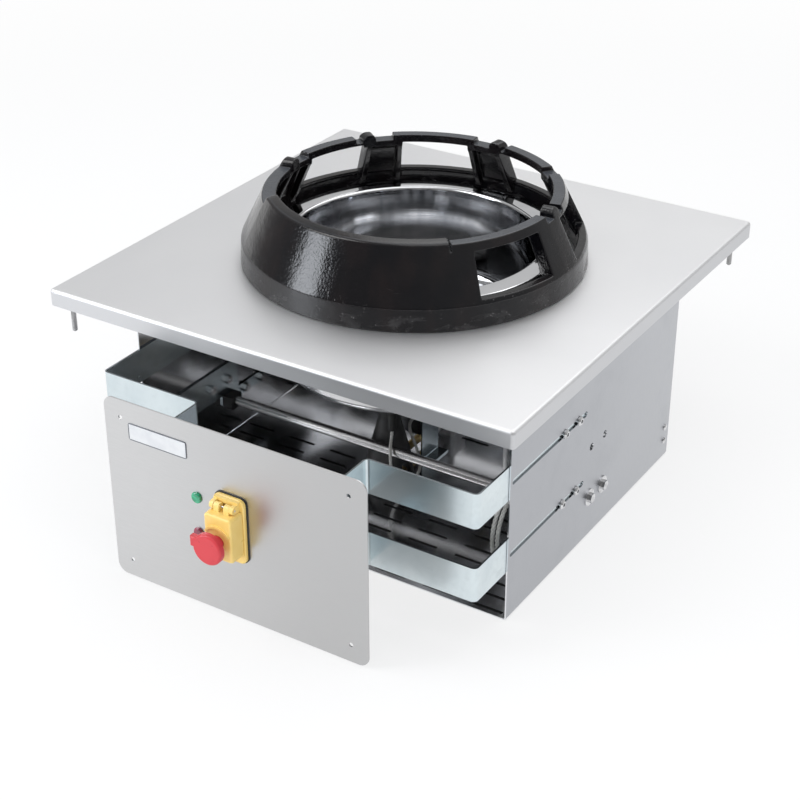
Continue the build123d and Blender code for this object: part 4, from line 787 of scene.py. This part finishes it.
def bowl_steel(name):
    """Spun and polished stainless with faint rings, a painted reflection (a dark patch and
    streaks) on its wall, and painted shade that darkens it low down.
    """
    finish = Finish(name)
    away = finish.distance((1.0, 1.0, 0.0), (BURNER[0], BURNER[1], 0.0))
    height = finish.axis("Z")
    rings = finish.node(
        "ShaderNodeTexNoise",
        {"noise_dimensions": "1D"},
        {"W": away + height * 1.7, "Scale": 900.0, "Detail": 3.0},
    )
    marks = finish.noise(18.0, 4.0, rough=0.65)
    # Painted shade: the wall is painted darker low down and the floor near-black.
    painted_shade_low_down = finish.between(height, TOP_FACE - 30 * MM, TOP_FACE - 80 * MM)
    soot_and_painted_shade = finish.between(away, 143 * MM, 118 * MM)
    bands = finish.noise(24.0, 3.0, (1.0, 1.0, 0.0), 0.6)
    wall = finish.between(height, TOP_FACE + 12 * MM, TOP_FACE + 2 * MM)
    surface = finish.blend(
        finish.between(marks, 0.35, 0.7), (0.80, 0.805, 0.82), (0.72, 0.73, 0.75)
    )
    # Painted reflection: a dark patch and streaks on the wall stand in for the ring's dark posts
    # mirrored there.
    painted_reflection_patch = finish.between(finish.distance((1.0, 1.0, 0.0), BOWL_PAINTED_REFLECTION), 105 * MM, 55 * MM)
    painted_reflection_streaks = finish.between(bands, 0.40, 0.60) * 0.45 + painted_reflection_patch * 0.55
    surface = finish.blend(painted_reflection_streaks * wall * 0.7, surface, (0.28, 0.295, 0.32))
    surface = finish.blend(painted_shade_low_down * 0.35, surface, (0.36, 0.37, 0.39))
    surface = finish.blend(soot_and_painted_shade * 0.85, surface, (0.06, 0.06, 0.065))
    gloss = 0.05 + (rings - 0.5) * 0.03 + (marks - 0.5) * 0.05 + soot_and_painted_shade * 0.1
    return finish.metal(surface, gloss, rings, 0.02 * MM, 0.4)


# ---------------------------------------------------------------- leads
STRANDS = 3
STRAND_SIDES = 6
TURN_STEPS = 10


def smooth_route(points):
    """Points of the smooth curve that a route's points control."""
    data = bpy.data.curves.new("route", "CURVE")
    data.dimensions = "3D"
    spline = data.splines.new("NURBS")
    spline.points.add(len(points) - 1)
    for point, place in zip(spline.points, points):
        point.co = (*place, 1.0)
    spline.order_u = 3
    spline.use_endpoint_u = True
    spline.resolution_u = 12
    holder = bpy.data.objects.new("route", data)
    mesh = bpy.data.meshes.new_from_object(holder)
    places = [vertex.co.copy() for vertex in mesh.vertices]
    bpy.data.objects.remove(holder)
    bpy.data.curves.remove(data)
    bpy.data.meshes.remove(mesh)
    return places


def even_steps(places, step):
    """Points along a line, a step apart."""
    out = [places[0].copy()]
    left = step
    for start, end in zip(places, places[1:]):
        run = (end - start).length
        at = left
        while at <= run:
            out.append(start.lerp(end, at / run))
            at += step
        left = at - run
    out.append(places[-1].copy())
    return out


def line_frames(places):
    """Two directions across a line at each of its points, carried along without twisting."""
    side = None
    frames = []
    for i in range(len(places)):
        run = (places[min(i + 1, len(places) - 1)] - places[max(i - 1, 0)]).normalized()
        if side is None:
            side = run.orthogonal().normalized()
        side = (side - run * side.dot(run)).normalized()
        frames.append((side, run.cross(side)))
    return frames


def add_tube(corners, faces, places, radius, sides):
    """Adds a closed round tube along a line."""
    first = len(corners)
    for place, (side, up) in zip(places, line_frames(places)):
        for k in range(sides):
            angle = 2 * math.pi * k / sides
            corners.append(place + (side * math.cos(angle) + up * math.sin(angle)) * radius)
    for i in range(len(places) - 1):
        for k in range(sides):
            a = first + i * sides + k
            b = first + i * sides + (k + 1) % sides
            faces.append((a, b, b + sides, a + sides))
    faces.append(tuple(first + k for k in reversed(range(sides))))
    last = first + (len(places) - 1) * sides
    faces.append(tuple(last + k for k in range(sides)))


def twisted_lead(name, routes, diameter, pitch, finish, node):
    """Leads of strands laid round each other along their routes, one turn in each pitch."""
    corners = []
    faces = []
    strand_r = diameter / (2.0 * (1.0 + 1.0 / math.sin(math.pi / STRANDS)))
    lay_r = diameter / 2 - strand_r
    for route in routes:
        middle = even_steps(smooth_route(route), pitch / TURN_STEPS)
        frames = line_frames(middle)
        for strand in range(STRANDS):
            line = []
            for i, (place, (side, up)) in enumerate(zip(middle, frames)):
                angle = 2 * math.pi * (i / TURN_STEPS + strand / STRANDS)
                line.append(place + (side * math.cos(angle) + up * math.sin(angle)) * lay_r)
            add_tube(corners, faces, line, strand_r, STRAND_SIDES)
    mesh = mesh_from(name, [tuple(c) for c in corners], faces)
    lead = piece(name, mesh, "root", finish, smooth_angle=60)
    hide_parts(node)


def millimetres(points, shift):
    """A route's points in metres, from the drawing's millimetres."""
    return [tuple((a + b) * MM for a, b in zip(point, shift)) for point in points]


# The drawing's origin is on the base, in front of the burner's axis, at the worktop's edge.
BURNER_FROM_FRONT = 300.0
DRAWING_SHIFT = (BURNER[0] / MM, BURNER[1] / MM - BURNER_FROM_FRONT, 0.0)
LEAD_DIAMETER = 4.0 * MM
LEAD_PITCH = 11 * MM
LEAD_ROUTE = [
    (58, 159, 78), (58, 159, 72), (64, 145, 60), (67, 142, 42), (68, 143, 24), (72, 155, 11.5),
    (78, 175, 7.5), (76, 196, 15.5), (62, 205, 35.5), (46, 211, 57), (46, 225, 57),
]
CABLE_ROUTE = [
    (262, 391.7, 40), (262, 359.7, 40), (270, 315.7, 24), (277.3, 261.7, 9.5),
    (277.3, 201.7, 6.5), (278.3, 141.7, 7.5), (277.3, 88.7, 10.5), (275.3, 40, 27.5),
    (273.3, 22, 61.5), (273.3, 22, 97.5), (276.3, 38, 125), (277.3, 56, 128), (277.3, 70, 128),
]
CABLE_APART = 6.0
CABLE_DIAMETER = 5.0 * MM
CABLE_PITCH = 16 * MM


def make_leads():
    """The ignition lead, and the two cables that run side by side."""
    white = braid("white_braid", (0.80, 0.79, 0.77), (0.62, 0.60, 0.56))
    grey = braid("grey_braid", (0.62, 0.62, 0.60), (0.42, 0.42, 0.40))
    lead = millimetres(LEAD_ROUTE, DRAWING_SHIFT)
    twisted_lead(
        "ignition_lead_braid", [lead], LEAD_DIAMETER, LEAD_PITCH,
        white, "ignition_lead",
    )
    cables = [
        millimetres(CABLE_ROUTE, (DRAWING_SHIFT[0] - i * CABLE_APART, DRAWING_SHIFT[1], 0.0))
        for i in range(2)
    ]
    twisted_lead(
        "wiring_braid", cables, CABLE_DIAMETER, CABLE_PITCH,
        grey, "wiring",
    )


# ---------------------------------------------------------------- blank plate on the control panel
PLATE_WIDTH = 75 * MM
PLATE_HEIGHT = 20 * MM
PLATE_MIDDLE = (BURNER[0] - 33.5 * MM, 186 * MM)
PLATE_CORNER = 2.6
CORNER_STEPS = 5
# Steps inward from the border's foot, in millimetres: inset, and how far proud.
PLATE_STEPS = (
    (0.0, 0.0), (0.0, 0.5), (0.15, 0.65), (0.9, 0.65), (1.05, 0.5), (1.4, 0.5), (6.0, 0.52)
)
BORDER_WIDTH = 1.1 * MM
BORDER_FADE = 0.15 * MM


def make_blank_plate():
    """Bare rounded plate with a raised dark border, stuck on the control panel."""
    corners = []
    faces = []
    round_count = 4 * (CORNER_STEPS + 1)
    for inset, proud in PLATE_STEPS:
        radius = max(PLATE_CORNER - inset, 0.4) * MM
        half_x = PLATE_WIDTH / 2 - inset * MM - radius
        half_z = PLATE_HEIGHT / 2 - inset * MM - radius
        for quarter, (sx, sz) in enumerate(((1, 1), (-1, 1), (-1, -1), (1, -1))):
            for i in range(CORNER_STEPS + 1):
                angle = math.pi / 2 * (quarter + i / CORNER_STEPS)
                corners.append((
                    PLATE_MIDDLE[0] + sx * half_x + radius * math.cos(angle),
                    PANEL_FACE - proud * MM,
                    PLATE_MIDDLE[1] + sz * half_z + radius * math.sin(angle),
                ))
    for level in range(len(PLATE_STEPS) - 1):
        for i in range(round_count):
            a = level * round_count + i
            b = level * round_count + (i + 1) % round_count
            faces.append((a, b, b + round_count, a + round_count))
    top = (len(PLATE_STEPS) - 1) * round_count
    faces.append(tuple(top + i for i in range(round_count)))
    faces.append(tuple(reversed(range(round_count))))
    mesh = mesh_from("blank_plate", corners, faces)
    finish = plate_finish("blank_plate_finish")
    piece("blank_plate", mesh, "panel", finish, smooth_angle=40)


def plate_finish(name):
    """Pale satin plate whose border is dark."""
    finish = Finish(name)
    across = finish.absolute(finish.axis("X") - PLATE_MIDDLE[0])
    up = finish.absolute(finish.axis("Z") - PLATE_MIDDLE[1])
    half_x = PLATE_WIDTH / 2 - BORDER_WIDTH
    half_z = PLATE_HEIGHT / 2 - BORDER_WIDTH
    border_x = finish.between(across, half_x - BORDER_FADE, half_x)
    border_z = finish.between(up, half_z - BORDER_FADE, half_z)
    border = finish.maths("MAXIMUM", border_x, border_z)
    clouds = finish.noise(60.0, 3.0)
    surface = finish.blend(
        finish.between(clouds, 0.3, 0.7), (0.68, 0.69, 0.70), (0.60, 0.61, 0.63)
    )
    surface = finish.blend(border, surface, (0.10, 0.11, 0.13))
    gloss = 0.3 + (clouds - 0.5) * 0.1
    return finish.shade(surface, gloss, finish.bump(clouds, 0.04 * MM, 0.4), Coat_Weight=0.3)


# ---------------------------------------------------------------- dressing of the CAD nodes
def panel_steel(name):
    """Finely brushed sheet with painted shade that makes it a little darker towards its right end.
    """
    finish = Finish(name)
    low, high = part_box("control_panel")
    fine = finish.noise(60.0, 3.0, (1.0, 40.0, 40.0), 0.6)
    clouds = finish.noise(3.0, 2.0)
    # Painted shade: the sheet is painted darker from its left end to its right end.
    across = finish.between(finish.axis("X") + (clouds - 0.5) * 0.08, low.x, high.x)
    surface = finish.blend(across, (0.66, 0.66, 0.662), (0.53, 0.53, 0.532))
    surface = finish.blend(finish.between(fine, 0.3, 0.7) * 0.2, surface, (0.50, 0.50, 0.51))
    gloss = 0.34 + (fine - 0.5) * 0.05 + (clouds - 0.5) * 0.06
    return finish.metal(surface, gloss, fine, 0.02 * MM, 0.25)


def dress(finish, *nodes):
    """Puts a finish on CAD nodes."""
    for node in nodes:
        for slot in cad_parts[node].material_slots:
            slot.material = finish


def dress_nodes():
    """Gives every CAD node its finish."""
    dress(worktop_steel("worktop_steel"), "worktop")
    dress(panel_steel("panel_steel"), "control_panel")
    dress(housing_steel("housing_steel"), "housing")
    dress(mirror_steel("back_steel", (0.84, 0.85, 0.87), 0.09), "back_panel")
    dress(mirror_steel("pot_steel", (0.70, 0.70, 0.71), 0.16), "burner_pot")
    dress(
        zinc_plate("zinc_plate"),
        "bracket_upper_left", "bracket_upper_right", "bracket_lower_left", "bracket_lower_right",
        "tube_carriers", "ignition_bracket",
    )
    dress(
        fastener_steel("fastener_steel"),
        "rear_screws", "side_washers", "side_bolts", "side_nuts", "bracket_bolts", "bracket_nuts",
        "lamp_nuts", "hinge_pin",
    )
    dress(threaded_steel("stud_steel"), "worktop_studs")
    dress(tube_steel("tube_steel"), "gas_tube", "supply_pipe")
    dress(turned_brass("turned_brass"), "gas_injector", "gas_pipe", "gas_inlet")
    dress(cast_aluminium("cast_aluminium"), "gas_valve")
    dress(cast_iron("sooty_iron"), "burner_manifold", "burner_head", "mixing_tube")
    black = moulded("black_plastic", (0.014, 0.014, 0.015), (0.03, 0.03, 0.032), roughness=0.38)
    dress(black, "ignition_box", "contact_block", "cable_gland")
    rubber = moulded(
        "black_rubber", (0.018, 0.018, 0.018), (0.032, 0.032, 0.032),
        roughness=0.6, grain=500.0, depth=0.1 * MM,
    )
    dress(rubber, "tube_clips", "electrode_cap", "switch_gasket")
    glaze = moulded("glazed_ceramic", (0.84, 0.82, 0.77), (0.76, 0.73, 0.66), roughness=0.18)
    dress(glaze, "electrode")
    white = moulded("white_plastic", (0.78, 0.77, 0.73), (0.70, 0.68, 0.63), roughness=0.35)
    dress(white, "terminal_block")
    yellow = moulded("yellow_plastic", (0.92, 0.67, 0.22), (0.88, 0.61, 0.17), Coat_Weight=0.2)
    dress(yellow, "switch_base", "switch_cover")
    dress(moulded("red_button", (0.66, 0.03, 0.04), (0.55, 0.02, 0.03)), "stop_button")
    dress(moulded("green_button", (0.02, 0.32, 0.12), (0.015, 0.25, 0.09)), "start_button")
    low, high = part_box("stop_mushroom")
    radius = (high.z - low.z) / 2
    dress(mushroom_red("mushroom_red", (high.x - radius, (low.z + high.z) / 2)), "stop_mushroom")
    dress(lamp_lens("green_lens", (0.0, 0.20, 0.09), (0.02, 0.50, 0.26)), "green_lamp")
    dress(lamp_lens("red_lens", (0.10, 0.002, 0.02), (0.36, 0.02, 0.07)), "red_lamp")


# ---------------------------------------------------------------- studio
SOFT_LIGHT = 0.55         # of the world on the object
ROOM_AHEAD = 0.28         # what metal mirrors level and sideways, and more to the back and top
ROOM_BACKWARD = 0.20
ROOM_UPWARD = 0.28
FLOOR_HALF = 6.0
GLOW_SHARE = 0.72         # of the floor near the range, rising to 1 between two distances
GLOW_NEAR = 0.9
GLOW_FAR = 2.4

PLAIN_WHITE = (1.0, 1.0, 1.0)
PALE_BLUE = (0.90, 0.94, 1.0)
# Soft boxes: name, place, aim, width and height, watts, colour, whether metal mirrors it.
SOFT_BOXES = (
    ("key_box", (-1.5, -1.4, 2.4), (0.0, 0.0, 0.2), (1.6, 1.6), 28.0, PLAIN_WHITE, True),
    ("window_box", (-1.55, -1.75, 0.75), (0.0, -0.1, 0.25), (0.7, 0.9), 16.0, PALE_BLUE, True),
    ("top_box", (0.6, 0.6, 2.4), (0.1, 0.1, 0.2), (3.2, 2.8), 24.0, PLAIN_WHITE, True),
    ("back_box", (-0.22, 0.95, 1.6), (0.1, -0.1, 0.23), (1.1, 0.9), 3.0, PLAIN_WHITE, True),
    ("front_box", (0.5, -2.4, 0.6), (0.1, 0.0, 0.15), (2.0, 0.5), 9.0, PLAIN_WHITE, False),
    ("right_box", (2.4, -0.6, 1.3), (0.1, 0.0, 0.2), (1.2, 1.6), 12.0, (0.95, 0.97, 1.0), False),
)


def seen_not_lit(finish):
    """1 for rays that see the background: camera, glossy and transmission rays."""
    seen = finish.node("ShaderNodeLightPath", output="Is Camera Ray")
    for name in ("Is Glossy Ray", "Is Transmission Ray"):
        seen = finish.maths("MAXIMUM", seen, finish.node("ShaderNodeLightPath", output=name))
    return seen


def make_world():
    """White behind the range for the eye; metal sees the dimmer room in front of it."""
    world = bpy.data.worlds.new("studio")
    bpy.context.scene.world = world
    sky = Finish("studio", world)
    room = ROOM_AHEAD + sky.axis("Y") * ROOM_BACKWARD + sky.axis("Z") * ROOM_UPWARD
    eye = sky.node("ShaderNodeLightPath", output="Is Camera Ray")
    strength = sky.maths("MAXIMUM", room, eye)
    sky_blue = (0.93, 0.96, 1.0, 1.0)
    light = sky.node("ShaderNodeBackground", inputs={"Color": sky_blue, "Strength": SOFT_LIGHT})
    white = (*PLAIN_WHITE, 1.0)
    seen = sky.node("ShaderNodeBackground", inputs={"Color": white, "Strength": strength})
    mix = sky.node("ShaderNodeMixShader", inputs={0: seen_not_lit(sky), 1: light, 2: seen})
    sky.node("ShaderNodeOutputWorld", inputs={"Surface": mix})


def make_floor():
    """Plain white floor that keeps the range's soft shadow, with painted shade making it dark
    under the housing.
    """
    turns = ((-1, -1), (1, -1), (1, 1), (-1, 1))
    corners = [(x * FLOOR_HALF, y * FLOOR_HALF, 0) for x, y in turns]
    mesh = mesh_from("studio_floor", corners, [(0, 1, 2, 3)])
    floor = bpy.data.objects.new("studio_floor", mesh)
    bpy.context.scene.collection.objects.link(floor)
    low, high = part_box("housing")
    paint = Finish("floor_paint")
    middle = (low + high) / 2
    half = (high - low) / 2
    beside_x = paint.absolute(paint.axis("X") - middle.x) - half.x
    beside_y = paint.absolute(paint.axis("Y") - middle.y) - half.y
    outside = paint.between(paint.maths("MAXIMUM", beside_x, beside_y), -8 * MM, 2 * MM)
    # Painted shade: the floor is painted near-black under the housing, where it also does not
    # glow.
    colour = paint.blend(outside, (0.02, 0.02, 0.02), (0.9, 0.9, 0.9))
    matt = paint.node("ShaderNodeBsdfDiffuse", inputs={"Color": colour})
    glow = paint.node("ShaderNodeEmission", inputs={"Strength": 1.0})
    away = paint.distance((1.0, 1.0, 0.0), (0.0, 0.0, 0.0))
    share = seen_not_lit(paint) * outside
    share = share * paint.between(away, GLOW_NEAR, GLOW_FAR, GLOW_SHARE, 1.0)
    mix = paint.node("ShaderNodeMixShader", inputs={0: share, 1: matt, 2: glow})
    paint.node("ShaderNodeOutputMaterial", inputs={"Surface": mix})
    floor.data.materials.append(paint.material)


def add_lamp(name, place, target, size, watts, colour, mirrored):
    """A soft box aimed at a point, which gloss and metal may mirror."""
    data = bpy.data.lights.new(name, "AREA")
    data.shape = "RECTANGLE"
    data.size, data.size_y = size
    data.energy = watts
    data.color = colour
    lamp = bpy.data.objects.new(name, data)
    lamp.location = place
    aim = Vector(target) - Vector(place)
    lamp.rotation_euler = aim.to_track_quat("-Z", "Y").to_euler()
    lamp.visible_glossy = mirrored
    bpy.context.scene.collection.objects.link(lamp)


def make_studio():
    """World, floor and soft boxes."""
    make_world()
    make_floor()
    for box in SOFT_BOXES:
        add_lamp(*box)


dress_nodes()
make_ring()
make_bowl()
make_leads()
make_blank_plate()
make_studio()
bpy.context.scene.view_settings.view_transform = "Standard"
